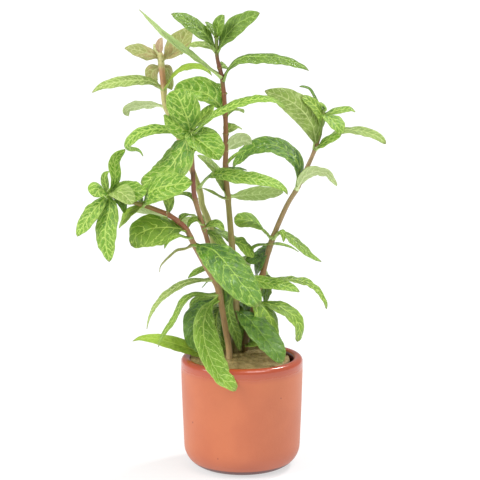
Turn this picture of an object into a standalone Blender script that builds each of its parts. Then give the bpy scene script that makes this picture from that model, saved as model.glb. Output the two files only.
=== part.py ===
"""A potted hygrophila: five leafy stems in a plug of mineral wool, in a small clay pot.

Lengths are in millimetres and are turned to metres as the meshes are made. The origin is
the centre of the pot's underside, +Z is up and the plant is seen from -Y.
"""
import math

import bmesh
import bpy
import numpy as np
from mathutils import Vector

MM = 0.001

# Pot: the belly is where its outer wall starts to draw in, and the waist is half-way down it
POT_HEIGHT = 55.5
LIP_RADIUS = 30.3
LIP_ROUND = 2.5
BELLY_RADIUS = 30.1
BELLY_HEIGHT = 42.0
WAIST_RADIUS = 29.6
WAIST_HEIGHT = 26.0
FOOT_RADIUS = 29.0
FOOT_ROUND = 11.0
WALL = 5.0
FLOOR = 5.0
CAVITY_ROUND = 6.0
POT_STEPS = 48

# Plug of mineral wool: it is narrower than the pot's hollow and crowns above the lip
GAP = 0.3
PLUG_TOP = 54.6
PLUG_CROWN = 2.2
PLUG_RADIUS = 23.4
PLUG_SHOULDER = 5.0
PLUG_CHAMFER = 6.7
PLUG_STEPS = 32
PLUG_RINGS = (7, 14, 20)
HOLE_FLOOR = 32.0
HOLE_SIDES = 12

# Stems and leaves: a leaf's stalk is a share of its length, and its sides rise in a low V
STEM_SIDES = 8
STEM_STEP = 9.0
BLADE = 0.8
BLADE_STEP = 5.5
BLADE_LIFT = 0.18
STALK = 0.06
PETIOLE = 2.2
TIP_WIDTH = 0.9

# Leaf and stem points are (x, y, z): y is the depth, and x and z are read off the front view,
# as it looks from EYE. A point further back is therefore spread by its distance from EYE.
EYE = (-1.0, -740.0, 236.3)

STEMS = {
    "stem_a": (1.5, 0.8, [(-6.3, 5, 58), (-9, 5.5, 80), (-12, 7, 100), (-15.8, 9, 121),
                          (-19.5, 10, 131), (-21, 11, 139), (-30, 13, 163), (-37, 15, 180),
                          (-38, 16, 190), (-39, 16, 200), (-39.3, 16, 206)]),
    "stem_b": (1.7, 0.8, [(-4, 0.5, 58), (-3, 0.5, 78), (-3.5, 1, 95), (-5, 1, 112),
                          (-7, 1.5, 136), (-8, 2, 149), (-8, 3, 173), (-9.5, 3, 192),
                          (-12, 3, 203), (-12.4, 3, 214)]),
    "stem_c": (1.6, 1.0, [(-9.5, -3, 58), (-12, -3, 80), (-14.3, -4, 100), (-17.4, -5, 115),
                          (-23, -7, 134), (-24, -8, 147), (-24.6, -9, 160),
                          (-24.8, -10, 168)]),
    "stem_d": (1.8, 1.0, [(-7.7, -9, 58), (-9, -9, 69), (-10.4, -9.5, 80), (-11.6, -10, 88),
                          (-13.4, -10.5, 93), (-17.5, -11, 100), (-23.4, -12, 111),
                          (-27, -12.5, 118.5), (-31, -13, 122.8), (-36.2, -14, 126.3),
                          (-42, -14, 128.8), (-48, -15, 131), (-54, -15, 132.7),
                          (-60, -16, 134), (-65.5, -17, 137)]),
    "stem_e": (1.6, 0.8, [(1.5, 4, 58), (2.4, 4, 66), (5, 5, 76), (10, 7, 96), (14.5, 9, 113),
                          (21.5, 11, 130), (27, 12, 139.5), (31, 13, 148), (35.3, 14, 158),
                          (38, 15, 167), (39.5, 15, 178)]),
}

# Each leaf: greatest width, the way its upper face looks, then points from stem to tip, whose
# depth counts from the leaf's own root.
LEAVES = {
    "stem_a": [
        (9.5, (0, -.9, .8), (-39, 0, 202), (-44.5, -1, 204.7), (-50, -2, 206.7), (-56.3, -3, 207.7)),
        (13, (-.3, -1, .4), (-39, 0, 202), (-35, 1, 208), (-30.5, 3, 213), (-25, 5, 218)),
        (4, (.5, -1, 0), (-39.2, 0, 204), (-40, -2, 208), (-38.5, -3, 212.5)),
        (4, (0, 1, .3), (-39.2, 0, 204), (-40.5, 3, 209), (-42.5, 4, 211)),
        (8, (-.3, -1, .8), (-39, 0, 198.3), (-42, -4, 198.7), (-45.5, -8, 197), (-47.3, -10, 193.5)),
        (9, (.4, -1, .3), (-39, 0, 198.3), (-36.5, -3, 198.5), (-34.5, -7, 195), (-35, -10, 188.5)),
        (8, (0, -.75, 1), (-37.7, 0, 187.5), (-41.5, 0, 190.6), (-46, 0, 192), (-53, -1, 192.3),
         (-61, -2, 190.8), (-67, -2, 189), (-72.6, -3, 186.3)),
        (7, (0, -.55, 1), (-37.7, 0, 187.5), (-34.8, -1, 193.5), (-30, -3, 197), (-25, -4, 198.8),
         (-20, -6, 198.3), (-14.5, -8, 194.5)),
        (9, (0, .35, 1), (-37, 0, 179.5), (-41.5, 3, 181.8), (-47, 7, 181.2), (-52, 10, 179.5),
         (-58, 13, 177)),
        (9, (0, .3, 1), (-37, 0, 179.5), (-33, 7, 182), (-27, 15, 179), (-23, 21, 172)),
        (11, (0, .3, 1), (-30, 0, 163), (-29, 12, 168), (-27, 24, 167.5), (-26, 35, 161)),
        (9, (0, -.85, 1), (-21, 0, 139.5), (-18.5, -5, 144), (-13, -12, 147), (-4, -18, 146.3),
         (8, -21, 143.8), (17, -22, 141.3), (22.3, -22, 136.5)),
        (9, (0, .2, 1), (-21, 0, 139.5), (-25, 7, 143), (-30, 15, 142), (-35, 22, 137)),
        (9, (.3, -1, .6), (-16, 0, 121), (-9, 1.5, 122), (-3, 2.5, 117.5), (2, 3.5, 112.5),
         (4.5, 3.5, 106)),
        (9, (-.3, .3, 1), (-16, 0, 121), (-20, 6.5, 125), (-26, 13.5, 124), (-31, 19.5, 118)),
        (10, (0, .4, 1), (-12, 0, 100), (-12, 12, 106), (-10, 24, 106.5), (-8, 35, 100)),
        (6, (-.4, -.5, 1), (-12, 0, 100), (-18, -1, 102.5), (-23.5, -3, 99), (-27, -5, 95)),
        (14, (-.4, -1, .3), (-9.2, 0, 82), (-15, -1.5, 83.5), (-22, -4.5, 79), (-25.3, -7.5, 70),
         (-24, -10.5, 62), (-21, -13.5, 57)),
        (11, (.4, .5, 1), (-9.2, 0, 82), (-3, 7.5, 87), (4, 14.5, 84), (11, 19.5, 76)),
        (8, (0, -.8, 1), (-6.5, 0, 61), (-14, -2, 58.8), (-24, -5, 59.5), (-34, -8, 63.2), (-45, -9, 65),
         (-54.5, -10, 63)),
        (9, (0, .5, 1), (-7.6, 0, 66), (-13, 11, 70), (-18, 22, 67), (-22, 31, 60)),
    ],
    "stem_b": [
        (10, (0, -1, .8), (-12.3, 0, 207), (-17, -1, 213.5), (-25.5, -2, 220), (-34, -3, 224)),
        (12, (-.3, -1, .4), (-12.3, 0, 206), (-8, -1, 213), (-1, -2, 220), (8.5, -3, 224.5)),
        (5, (-.6, -1, 0), (-12.4, 0, 212), (-12, -3, 218), (-8.5, -4, 223.7)),
        (4, (.6, 1, 0), (-12.4, 0, 212), (-15, 3, 217), (-17, 4, 220.5)),
        (6, (0, .1, 1), (-12.4, 0, 205), (-17, 3, 208.5), (-23, 6, 209.7), (-28, 8, 208.5),
         (-31, 9, 204)),
        (9, (0, .4, 1), (-12, 0, 203), (-8, 8, 207), (-2, 17, 208), (3, 25, 203)),
        (7, (-.2, -.45, 1), (-9.8, 0, 194), (-17, -2, 199), (-26, -4, 205.3), (-35, -6, 211.8),
         (-43, -7, 219.3), (-49.2, -8, 226)),
        (9, (0, -.45, 1), (-9.5, 0, 192), (-4.5, -2, 199.5), (3, -3, 204), (12, -4, 205),
         (22, -5, 202.5), (32.5, -6, 197)),
        (14, (-.2, -1, .55), (-8.6, 0, 177), (-12, 0, 182), (-17, 1, 186), (-24, 2, 188.5),
         (-33, 3, 188)),
        (7, (0, .1, 1), (-8.6, 0, 175), (-4.5, 5, 178), (-2, 8, 178), (1, 11, 176.5)),
        (9, (-.1, .9, .7), (-8, 0, 165), (-4, 7, 170), (0, 13, 171), (2.5, 17, 167)),
        (9, (-.1, .9, .7), (-8, 0, 157.5), (-4, 2, 161.5), (0, 3, 163.5), (4.5, 4, 161)),
        (9, (0, .8, 1), (-7, 0, 135.5), (-1, 3.5, 136), (8, 7.5, 137.8), (20.5, 11.5, 137.6)),
        (5, (0, 0, 1), (-7, 0, 136), (-10, -1, 135.5), (-14, -2, 137.5), (-17.5, -3, 139.3)),
        (9, (0, .5, 1), (-3.8, 0, 99), (-3, 11, 104), (0, 20, 104), (3, 28, 98)),
        (9, (0, -.75, 1), (-3.5, 0, 94), (3, -2, 94.5), (12, -5, 92.5), (20, -7, 91), (28.4, -8, 88)),
        (9, (0, .5, 1), (-3.5, 0, 93), (-5, 11, 98), (-13, 20, 97), (-20, 26, 90)),
        (15, (.3, -1, .4), (-3, 0, 78), (3, -6.5, 77), (9, -13.5, 70), (14.5, -18.5, 61.5),
         (18.7, -21.5, 53)),
        (10, (-.2, .5, 1), (-3, 0, 77), (-6, 13.5, 83), (-10, 21.5, 82), (-14, 28.5, 74)),
        (4, (0, -1, 0), (-3, 0, 88), (-7, -3.5, 84), (-5, -4.5, 75), (-1.5, -5.5, 69), (-2, -5.5, 62)),
        (10, (0, .4, 1), (-9, 0, 186), (-13, 12, 190), (-17, 24, 189.5), (-20, 34, 184)),
    ],
    "stem_c": [
        (16, (.3, -1, .2), (-24.8, 0, 166), (-26.5, -2, 173), (-29, -2, 180), (-31.5, 0, 185),
         (-34, 4, 187)),
        (13, (-.2, -1, .4), (-24.8, 0, 166), (-29, -5, 170), (-34, -8, 173.5), (-38.8, -10, 175.5)),
        (7, (0, -.8, 1), (-24.8, 0, 165), (-30, -1, 168), (-36, -2, 168.7), (-43, -3, 168.7),
         (-50, -4, 167.4), (-55.7, -4, 163.3), (-56.6, -4, 160), (-54, -4, 158.2), (-50.5, -4, 158),
         (-48.6, -4, 155.5)),
        (16, (-.4, -1, .7), (-24.7, 0, 164), (-29, -4, 162), (-35, -5, 156.5), (-42, -5, 149.5),
         (-49.5, -4, 143)),
        (15, (.3, -1, .5), (-24.8, 0, 165), (-20, -5, 166), (-15, -9, 162.5), (-10.8, -12, 154)),
        (9, (0, -1, .4), (-24.8, 0, 167), (-22, 5, 173), (-19, 8, 178), (-16.5, 10, 181.5)),
        (8, (0, -.55, 1), (-24.8, 0, 165), (-19, -2, 171), (-12, -3, 176), (0, -4, 182.5),
         (10, -4, 184.3), (18, -3, 182.5), (22, -2, 178)),
        (9, (.2, .5, 1), (-24.8, 0, 164), (-20, 8, 168), (-16, 16, 167), (-13, 24, 161)),
        (5, (0, -.2, 1), (-23, 0, 134), (-26.5, 4, 136.3), (-30, 7, 136.8), (-35, 11, 135.5)),
        (4, (-.3, -.6, 1), (-19.5, 0, 121.5), (-22, -2, 124), (-25.2, -3, 123), (-27, -3, 119.5)),
        (6, (0, -.6, 1), (-18.8, 0, 120), (-16, -1, 121.5), (-12, -2, 121.8), (-8.5, -2, 118.5)),
        (7, (-.2, -.6, 1), (-12.6, 0, 86), (-18, 1, 87), (-23, 0, 85), (-26, -1, 80)),
    ],
    "stem_d": [
        (19, (.3, -1, .6), (-23.4, 0, 111), (-17, -8, 109.5), (-8, -16, 103), (0, -21, 93), (8, -24, 80)),
        (5, (0, .1, 1), (-23.9, 0, 111.5), (-29, 3, 109.7), (-36, 7, 106.5), (-41, 10, 98)),
        (5, (0, -.4, 1), (-25.5, 0, 115), (-31, 4, 116.5), (-36, 7, 114), (-38.5, 9, 109.5)),
        (16, (0, -1, .3), (-28, 0, 119.5), (-35, -3, 119.8), (-43, -5, 120), (-51, -6, 119.5),
         (-55.5, -4, 116)),
        (5, (0, -.1, 1), (-31, 0, 122.8), (-28.5, 6, 126), (-25, 11, 126.5), (-22, 15, 124)),
        (9, (0, .3, 1), (-36.2, 0, 126.3), (-42, 1, 126.3), (-48, 3, 128), (-55, 5, 127.5),
         (-60.5, 6, 120)),
        (8, (0, -1, .3), (-36.2, 0, 126.3), (-36, 2, 131), (-36.5, 3, 136), (-37.5, 3, 141)),
        (13, (0, -1, .6), (-48, 0, 131.3), (-47, -7, 138), (-41, -12, 141.5), (-33, -15, 142.7),
         (-24.3, -15, 141.5)),
        (8, (0, .5, 1), (-48, 0, 131.3), (-52, 7, 136), (-56, 14, 137), (-60, 20, 133)),
        (7, (-.4, -1, .2), (-65, 0, 137), (-64, 0, 146), (-63.5, 1, 153), (-61, 2, 157), (-57, 2, 159)),
        (4, (-.4, -1, .6), (-65.3, 0, 137), (-67, 2, 142.5), (-67, 3, 146), (-65, 4, 148)),
        (11, (-.3, -1, .7), (-65.5, 0, 137), (-69, -3, 138.5), (-73, -6, 137), (-76.5, -8, 133)),
        (10, (-.4, -1, .4), (-65.5, 0, 136.5), (-71, -4, 131), (-77, -6, 124), (-81, -7, 115.3)),
        (12, (.1, -1, .3), (-65.5, 0, 136.5), (-65, -5, 130), (-67, -8, 119), (-67.2, -9, 111),
         (-66, -9, 102.5)),
        (11, (.1, -1, .9), (-65, 0, 136.8), (-60, -2, 139.5), (-53, -3, 140), (-46, -3, 138.5)),
        (10, (.3, -1, .7), (-65, 0, 136.8), (-61, -6, 138), (-57, -10, 135.7), (-53.5, -12, 131.5)),
        (15, (0, -1, .2), (-11.8, 0, 88), (-17.5, -6, 83), (-19, -12, 74), (-16.5, -18, 62),
         (-12, -22.5, 50), (-4, -25, 38)),
        (8, (-.2, -.3, 1), (-11.5, 0, 87), (-18, 1, 87), (-23.5, 1, 87.8), (-28.5, 0, 86), (-32, 0, 77),
         (-36.5, 0, 70), (-41.5, 0, 60)),
        (6, (0, .3, 1), (-14.5, 0, 94.7), (-22, 2, 95), (-29.5, 4, 93), (-37, 6, 88.3), (-44.5, 9, 79.5),
         (-47.6, 11, 69)),
    ],
    "stem_e": [
        (9, (.4, -1, .6), (39.4, 0, 175.5), (43, -5, 175.3), (46.8, -9, 172), (48.5, -12, 165.5)),
        (5, (0, -.6, 1), (39.4, 0, 176), (44, 1, 177.5), (50, 2, 178.6), (55, 3, 176.8)),
        (3, (0, -.5, 1), (39.4, 0, 177), (36, 1, 181), (34, 2, 185), (32, 2, 188.3), (28, 1, 189.3)),
        (8, (0, -1, .4), (39.4, 0, 175), (36.5, -1, 179), (33.5, -3, 183), (30.5, -5, 186)),
        (6, (0, .5, 1), (39.4, 0, 176), (40, 7, 180), (42, 14, 181), (44, 20, 177)),
        (12, (-.3, -1, .4), (35.3, 0, 158.5), (33.7, -2, 166), (30.5, -4, 173.5), (26, -5, 180),
         (19.5, -6, 185), (10.8, -6, 187.3)),
        (8, (0, -.5, 1), (35.3, 0, 158.5), (39, 1, 163), (45, 2, 167), (53, 3, 168.8), (62, 3, 167.2),
         (70, 3, 160.8)),
        (9, (0, .5, 1), (35.5, 0, 159), (35, 9, 165), (32, 18, 167), (29, 26, 163)),
        (9, (-.4, -.6, 1), (27, 0, 140), (27, 1, 147), (25.3, 2, 153.5), (21.5, 2, 158.3),
         (16.5, 3, 161.3), (11, 3, 162.2), (5, 3, 160), (-4.5, 4, 150)),
        (8, (.2, .8, .8), (27, 0, 139.5), (30, -1, 146), (34, -2, 149), (39, -3, 149), (43.5, -4, 146.5),
         (45.3, -4, 140)),
        (10, (-.2, -1, .7), (14.5, 0, 113), (10.5, -1, 118.7), (5.5, -1, 122.5), (0, -1, 124.3),
         (-4.5, 0, 124.5)),
        (9, (0, 1, 1), (14.5, 0, 113), (18, -1, 117.5), (22, -2, 117), (26.5, -3, 114.3),
         (31, -5, 109.5), (39.5, -6, 103)),
        (3, (0, -.5, 1), (15.3, 0, 115), (17.5, -3, 119), (20.5, -5, 118.5), (21.5, -6, 113)),
        (5, (0, .1, 1), (14.5, 0, 112), (19, 5, 112.2), (24, 10, 110.8), (28, 14, 108)),
        (9, (-.2, -1, .8), (13.8, 0, 110.3), (10, -4, 109.5), (6, -7, 106.5), (1.5, -10, 103)),
        (9, (0, .4, 1), (12.2, 0, 104), (9, 9, 108), (4, 18, 108.5), (0, 26, 103)),
        (6, (0, -.5, 1), (10, 0, 96), (17, 3, 95.5), (25, 6, 94.8), (31, 8, 93.5), (36, 9, 91),
         (40, 10, 87), (42, 10, 79)),
        (8, (.3, -1, .2), (10, 0, 96), (12, 4, 96), (12, 7, 90), (11.5, 8, 82)),
        (8, (0, -.6, 1), (6.6, 0, 81.5), (12, -1.7, 82), (20, -3.7, 79), (25.5, -4.7, 75),
         (28.6, -5.7, 70), (27, -6.7, 63)),
        (11, (.4, -1, .3), (6.6, 0, 82), (11, -4.7, 82), (15, -8.7, 76), (16, -11.7, 66)),
        (7, (0, -.8, 1), (2, 0, 61), (5, -6, 61.5), (9, -12, 61)),
        (9, (.2, .5, 1), (3.2, 0, 67), (9, 11, 71), (14, 22, 68), (17, 32, 61)),
    ],
}


def real(point):
    """The true place, in millimetres, of a point given as it looks in the front view."""
    x, y, z = point
    spread = (y - EYE[1]) / -EYE[1]
    return np.array((EYE[0] + (x - EYE[0]) * spread, y, EYE[2] + (z - EYE[2]) * spread))


def smooth(points, count):
    """Points spaced evenly along a smooth curve through the given ones."""
    p = np.array(points, float)
    ends = np.vstack((2 * p[0] - p[1], p, 2 * p[-1] - p[-2]))
    dense = []
    for a, b, c, d in zip(ends, ends[1:], ends[2:], ends[3:]):
        for t in np.linspace(0, 1, 12, endpoint=False):
            bend = (2 * a - 5 * b + 4 * c - d) * t * t + (3 * b - a - 3 * c + d) * t ** 3
            dense.append(b + 0.5 * ((c - a) * t + bend))
    dense.append(p[-1])
    dense = np.array(dense)
    run = np.append(0, np.cumsum(np.linalg.norm(np.diff(dense, axis=0), axis=1)))
    even = np.linspace(0, run[-1], count)
    return np.stack([np.interp(even, run, dense[:, i]) for i in range(3)], axis=1), run[-1]


def depth_of_stem(name, point):
    """How far back a stem stands at the height of a point in the front view."""
    heights = [z for x, y, z in STEMS[name][2]]
    depths = [y for x, y, z in STEMS[name][2]]
    return float(np.interp(point[2], heights, depths))


def nearest(path, point):
    """The point of a fine path that is nearest to another point."""
    return path[np.argmin(np.linalg.norm(path - point, axis=1))]


def unit(v):
    """A vector made one long."""
    return v / np.linalg.norm(v)


def stem_path(name):
    """A stem's centre line: upright in its hole in the plug, then through its own points."""
    points = [real(p) for p in STEMS[name][2]]
    x, y = points[0][:2]
    buried = [np.array((x, y, HOLE_FLOOR + GAP)), np.array((x, y, PLUG_TOP - 8))]
    return buried + points


def blade_sides(path, face):
    """Sideways and upward directions along a leaf, carried without twist from its middle."""
    along = np.gradient(path, axis=0)
    middle = len(path) // 2
    sides = [None] * len(path)
    sides[middle] = unit(np.cross(along[middle], face))
    for i in list(range(middle + 1, len(path))) + list(range(middle - 1, -1, -1)):
        before = sides[i - 1] if i > middle else sides[i + 1]
        t = unit(along[i])
        sides[i] = unit(before - t * np.dot(before, t))
    ups = [unit(np.cross(s, t)) for s, t in zip(sides, along)]
    return np.array(sides), np.array(ups)


def blade_width(t, width):
    """Half the width at t from 0 at the stem to 1 at the tip: a stalk, then a lance shape."""
    s = min(1.0, max(0.0, (t - STALK) / (1 - STALK)))
    lance = (4 * s * (1 - s)) ** 0.75
    return max(0.5 * width * lance, 0.5 * PETIOLE * (1 - t) ** 1.5, 0.5 * TIP_WIDTH)


def make_blade(name, path, face, width, collection):
    """One leaf as a thin closed solid: a grid, two faces wide, bent to its midrib and thickened."""
    rows = len(path) - 1
    bm = bmesh.new()
    bmesh.ops.create_grid(bm, x_segments=2, y_segments=rows, size=1.0)
    sides, ups = blade_sides(path, face)
    for v in bm.verts:
        row = round((v.co.y + 1) / 2 * rows)
        across = round(v.co.x)
        half = blade_width(row / rows, width)
        wave = 0.05 * width * math.sin(2.2 * row + width) * (row < rows)
        lift = abs(across) * (BLADE_LIFT * half + wave * abs(across) * min(1, half / 3))
        place = path[row] + sides[row] * across * half + ups[row] * lift
        v.co = Vector(place * MM)
    bmesh.ops.triangulate(bm, faces=bm.faces[:], quad_method="SHORT_EDGE")
    mesh = bpy.data.meshes.new(name)
    bm.to_mesh(mesh)
    bm.free()
    leaf = bpy.data.objects.new(name, mesh)
    collection.objects.link(leaf)
    solid = leaf.modifiers.new("thickness", "SOLIDIFY")
    solid.thickness = BLADE * MM
    solid.offset = 0.0
    return leaf


def make_stem(name, collection):
    """A stem as a round tube that thins towards its tip."""
    foot, tip, _ = STEMS[name]
    points = stem_path(name)
    length = smooth(points, 2)[1]
    path, _ = smooth(points, max(8, round(length / STEM_STEP)))
    curve = bpy.data.curves.new(name, "CURVE")
    curve.dimensions = "3D"
    curve.bevel_depth = MM
    curve.bevel_resolution = STEM_SIDES // 4
    curve.use_fill_caps = True
    line = curve.splines.new("POLY")
    line.points.add(len(path) - 1)
    for i, (place, spot) in enumerate(zip(path, line.points)):
        t = i / (len(path) - 1)
        spot.co = (*(place * MM), 1)
        spot.radius = foot + (tip - foot) * t ** 1.5
    tube = bpy.data.objects.new(name, curve)
    collection.objects.link(tube)
    return as_mesh(tube, collection)


def as_mesh(shape, collection):
    """A plain mesh object in place of a curve, with its caps welded on."""
    graph = bpy.context.evaluated_depsgraph_get()
    mesh = bpy.data.meshes.new_from_object(shape.evaluated_get(graph))
    bm = bmesh.new()
    bm.from_mesh(mesh)
    bmesh.ops.remove_doubles(bm, verts=bm.verts[:], dist=0.01 * MM)
    bm.to_mesh(mesh)
    bm.free()
    name = shape.name
    solid = bpy.data.objects.new(name + "_mesh", mesh)
    solid.matrix_world = shape.matrix_world
    collection.objects.link(solid)
    bpy.data.objects.remove(shape)
    solid.name = name
    return solid


def apply_modifiers(shape):
    """The object's mesh as its modifiers leave it, in place of the plain one."""
    graph = bpy.context.evaluated_depsgraph_get()
    mesh = bpy.data.meshes.new_from_object(shape.evaluated_get(graph))
    shape.modifiers.clear()
    shape.data = mesh


def pieces_of(bm):
    """The separate bodies of a mesh, as lists of faces."""
    left = set(bm.faces)
    found = []
    while left:
        body = [left.pop()]
        for face in body:
            for edge in face.edges:
                for other in edge.link_faces:
                    if other in left:
                        left.remove(other)
                        body.append(other)
        found.append(body)
    return found


def keep_outer_body(shape):
    """Drops loose scraps and fills the hollows that fusing sealed."""
    bm = bmesh.new()
    bm.from_mesh(shape.data)
    bmesh.ops.remove_doubles(bm, verts=bm.verts[:], dist=0.002 * MM)
    bmesh.ops.dissolve_degenerate(bm, edges=bm.edges[:], dist=0.002 * MM)
    bodies = sorted(pieces_of(bm), key=len)
    extra = [face for body in bodies[:-1] for face in body]
    bmesh.ops.delete(bm, geom=extra, context="FACES")
    bm.to_mesh(shape.data)
    bm.free()


def paint(shape, colour, roughness):
    """Gives a piece its own material."""
    material = bpy.data.materials.new(shape.name)
    material.use_nodes = True
    shader = material.node_tree.nodes["Principled BSDF"]
    shader.inputs["Base Color"].default_value = (*colour, 1)
    shader.inputs["Roughness"].default_value = roughness
    shader.inputs["Metallic"].default_value = 0.0
    shape.data.materials.clear()
    shape.data.materials.append(material)


def shade(shape, degrees):
    """Smooth shading that keeps edges sharper than the given angle."""
    shape.data.shade_smooth()
    shape.data.set_sharp_from_angle(angle=math.radians(degrees))


def arc(centre, radius, start, end, count):
    """Points along an arc in the half plane of a turned profile, angles in degrees."""
    angles = np.radians(np.linspace(start, end, count))
    return [(centre[0] + radius * math.cos(a), centre[1] + radius * math.sin(a)) for a in angles]


def turned(name, profile, steps, collection):
    """A profile of (radius, height) points turned around the upright axis."""
    bm = bmesh.new()
    verts = [bm.verts.new((r * MM, 0, z * MM)) for r, z in profile]
    for a, b in zip(verts, verts[1:]):
        bm.edges.new((a, b))
    mesh = bpy.data.meshes.new(name)
    bm.to_mesh(mesh)
    bm.free()
    shape = bpy.data.objects.new(name, mesh)
    collection.objects.link(shape)
    turn = shape.modifiers.new("turn", "SCREW")
    turn.steps = steps
    turn.render_steps = steps
    turn.use_merge_vertices = True
    turn.merge_threshold = 0.00001
    turn.use_normal_calculate = False
    return shape


def make_pot(collection):
    """The clay pot: up the inner wall, over the rounded lip and down the outer side."""
    inner = LIP_RADIUS - WALL
    corner = (inner - 0.8 - CAVITY_ROUND, FLOOR + CAVITY_ROUND)
    lip = (LIP_RADIUS - LIP_ROUND, POT_HEIGHT - LIP_ROUND)
    foot = (FOOT_RADIUS - FOOT_ROUND, FOOT_ROUND)
    profile = [(0, FLOOR)]
    profile += arc(corner, CAVITY_ROUND, -90, 0, 4)
    profile += [(inner - 0.1, BELLY_HEIGHT)]
    profile += arc(lip, LIP_ROUND, 180, 0, 9)
    profile += [(BELLY_RADIUS, BELLY_HEIGHT), (WAIST_RADIUS, WAIST_HEIGHT)]
    profile += arc(foot, FOOT_ROUND, 0, -90, 7)
    profile += [(0, 0)]
    pot = turned("pot", profile, POT_STEPS, collection)
    apply_modifiers(pot)
    shade(pot, 40)
    paint(pot, (0.66, 0.20, 0.10), 0.45)
    return pot


def plug_edge(angle):
    """The plug's radius at its top: it meets the lip in front and falls short of it behind."""
    front = 0.5 - 0.5 * math.sin(angle)
    ripple = 0.35 * math.sin(5 * angle + 1) + 0.25 * math.sin(9 * angle)
    return PLUG_RADIUS - 1.2 + 2.2 * front + ripple * (1 - front * 0.8)


def plug_crown(x, y):
    """How much the plug's top rises above its shoulder: a low dome with small humps."""
    dome = PLUG_CROWN * math.cos(min(1, math.hypot(x, y) / 22) * math.pi / 2)
    humps = 0.4 * math.sin(0.9 * x + 1) * math.cos(0.7 * y) + 0.25 * math.sin(1.7 * x - 1.1 * y)
    return dome + humps


def plug_profile():
    """The plug's outline before its edge and crown are shaped: flat top, shoulder, side, foot."""
    side = PLUG_RADIUS + 0.6
    foot = FLOOR + GAP
    profile = [(0, PLUG_TOP)]
    profile += [(r, PLUG_TOP) for r in PLUG_RINGS]
    profile += [(side - 1, PLUG_TOP - 1), (side, PLUG_TOP - PLUG_SHOULDER)]
    profile += [(side, 44), (side, foot + PLUG_CHAMFER), (side - 2, foot + 2.7), (side - 7, foot)]
    profile += [(0, foot)]
    return profile


def make_plug(collection, holes):
    """The plug of mineral wool, with a plain hole for each stem."""
    plug = turned("plug", plug_profile(), PLUG_STEPS, collection)
    apply_modifiers(plug)
    for v in plug.data.vertices:
        x, y, z = (c / MM for c in v.co)
        scale = PLUG_RADIUS / (PLUG_RADIUS + 0.6)
        if z > 40:
            scale = plug_edge(math.atan2(y, x)) / (PLUG_RADIUS + 0.6)
        if z > PLUG_TOP - PLUG_SHOULDER + 1:
            z += plug_crown(x, y)
        v.co = Vector((x * scale, y * scale, z)) * MM
    cut = plug.modifiers.new("holes", "BOOLEAN")
    cut.operand_type = "COLLECTION"
    cut.collection = holes
    cut.operation = "DIFFERENCE"
    cut.solver = "EXACT"
    shade(plug, 50)
    paint(plug, (0.24, 0.17, 0.07), 0.95)
    return plug


def make_hole(name, cutters):
    """The round cutter for one stem's hole in the plug."""
    x, y = real(STEMS[name][2][0])[:2]
    radius = (STEMS[name][0] + GAP + 0.1) / math.cos(math.pi / HOLE_SIDES)
    depth = POT_HEIGHT + 15 - HOLE_FLOOR
    bm = bmesh.new()
    bmesh.ops.create_cone(bm, cap_ends=True, segments=HOLE_SIDES, radius1=radius * MM,
                          radius2=radius * MM, depth=depth * MM)
    mesh = bpy.data.meshes.new(name + "_hole")
    bm.to_mesh(mesh)
    bm.free()
    hole = bpy.data.objects.new(name + "_hole", mesh)
    hole.location = Vector((x, y, HOLE_FLOOR + depth / 2)) * MM
    hole.hide_render = True
    hole.display_type = "WIRE"
    cutters.objects.link(hole)


def leaf_paths(name):
    """Each leaf's midrib, rooted on its stem's centre line, with its face and width."""
    fine, _ = smooth(stem_path(name), 400)
    found = []
    for width, face, *points in LEAVES[name]:
        depth = depth_of_stem(name, points[0])
        path = [real((x, depth + y, z)) for x, y, z in points]
        path[0] = nearest(fine, path[0])
        length = smooth(path, 2)[1]
        path, _ = smooth(path, max(5, round(length / BLADE_STEP) + 1))
        found.append((path, np.array(face, float), width))
    return found


def make_plant(name, collection, colour):
    """One leafy stem: its leaves are fused to it."""
    stem = make_stem(name, collection)
    blades = bpy.data.collections.new(name + "_blades")
    bpy.context.scene.collection.children.link(blades)
    for i, (path, face, width) in enumerate(leaf_paths(name)):
        blade = make_blade(f"{name}_leaf_{i}", path, face, width, blades)
        apply_modifiers(blade)
    join = stem.modifiers.new("grow", "BOOLEAN")
    join.operand_type = "COLLECTION"
    join.collection = blades
    join.operation = "UNION"
    join.solver = "EXACT"
    apply_modifiers(stem)
    for blade in list(blades.objects):
        bpy.data.objects.remove(blade)
    bpy.data.collections.remove(blades)
    keep_outer_body(stem)
    shade(stem, 50)
    paint(stem, colour, 0.4)
    return stem


def main():
    """Clears the scene and builds the plant in its pot."""
    for old in list(bpy.data.objects):
        bpy.data.objects.remove(old)
    plant = bpy.data.collections.new("potted_hygrophila")
    cutters = bpy.data.collections.new("hole_cutters")
    bpy.context.scene.collection.children.link(plant)
    bpy.context.scene.collection.children.link(cutters)
    for name in STEMS:
        make_hole(name, cutters)
    make_pot(plant)
    make_plug(plant, cutters)
    green = (0.12, 0.34, 0.04)
    for name in STEMS:
        make_plant(name, plant, green)


if __name__ == "__main__":
    main()
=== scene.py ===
"""The potted hygrophila as it is photographed: five leafy stems in a small clay pot.

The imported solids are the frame. Finer meshes stand for the pot, the plug of mineral wool and
the leafy stems. The stems and leaves keep the solids' places, set closer to the photograph, and
some small leaves are added. Lengths are in millimetres and are turned to metres as the meshes
are made.
"""
import math

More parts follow.
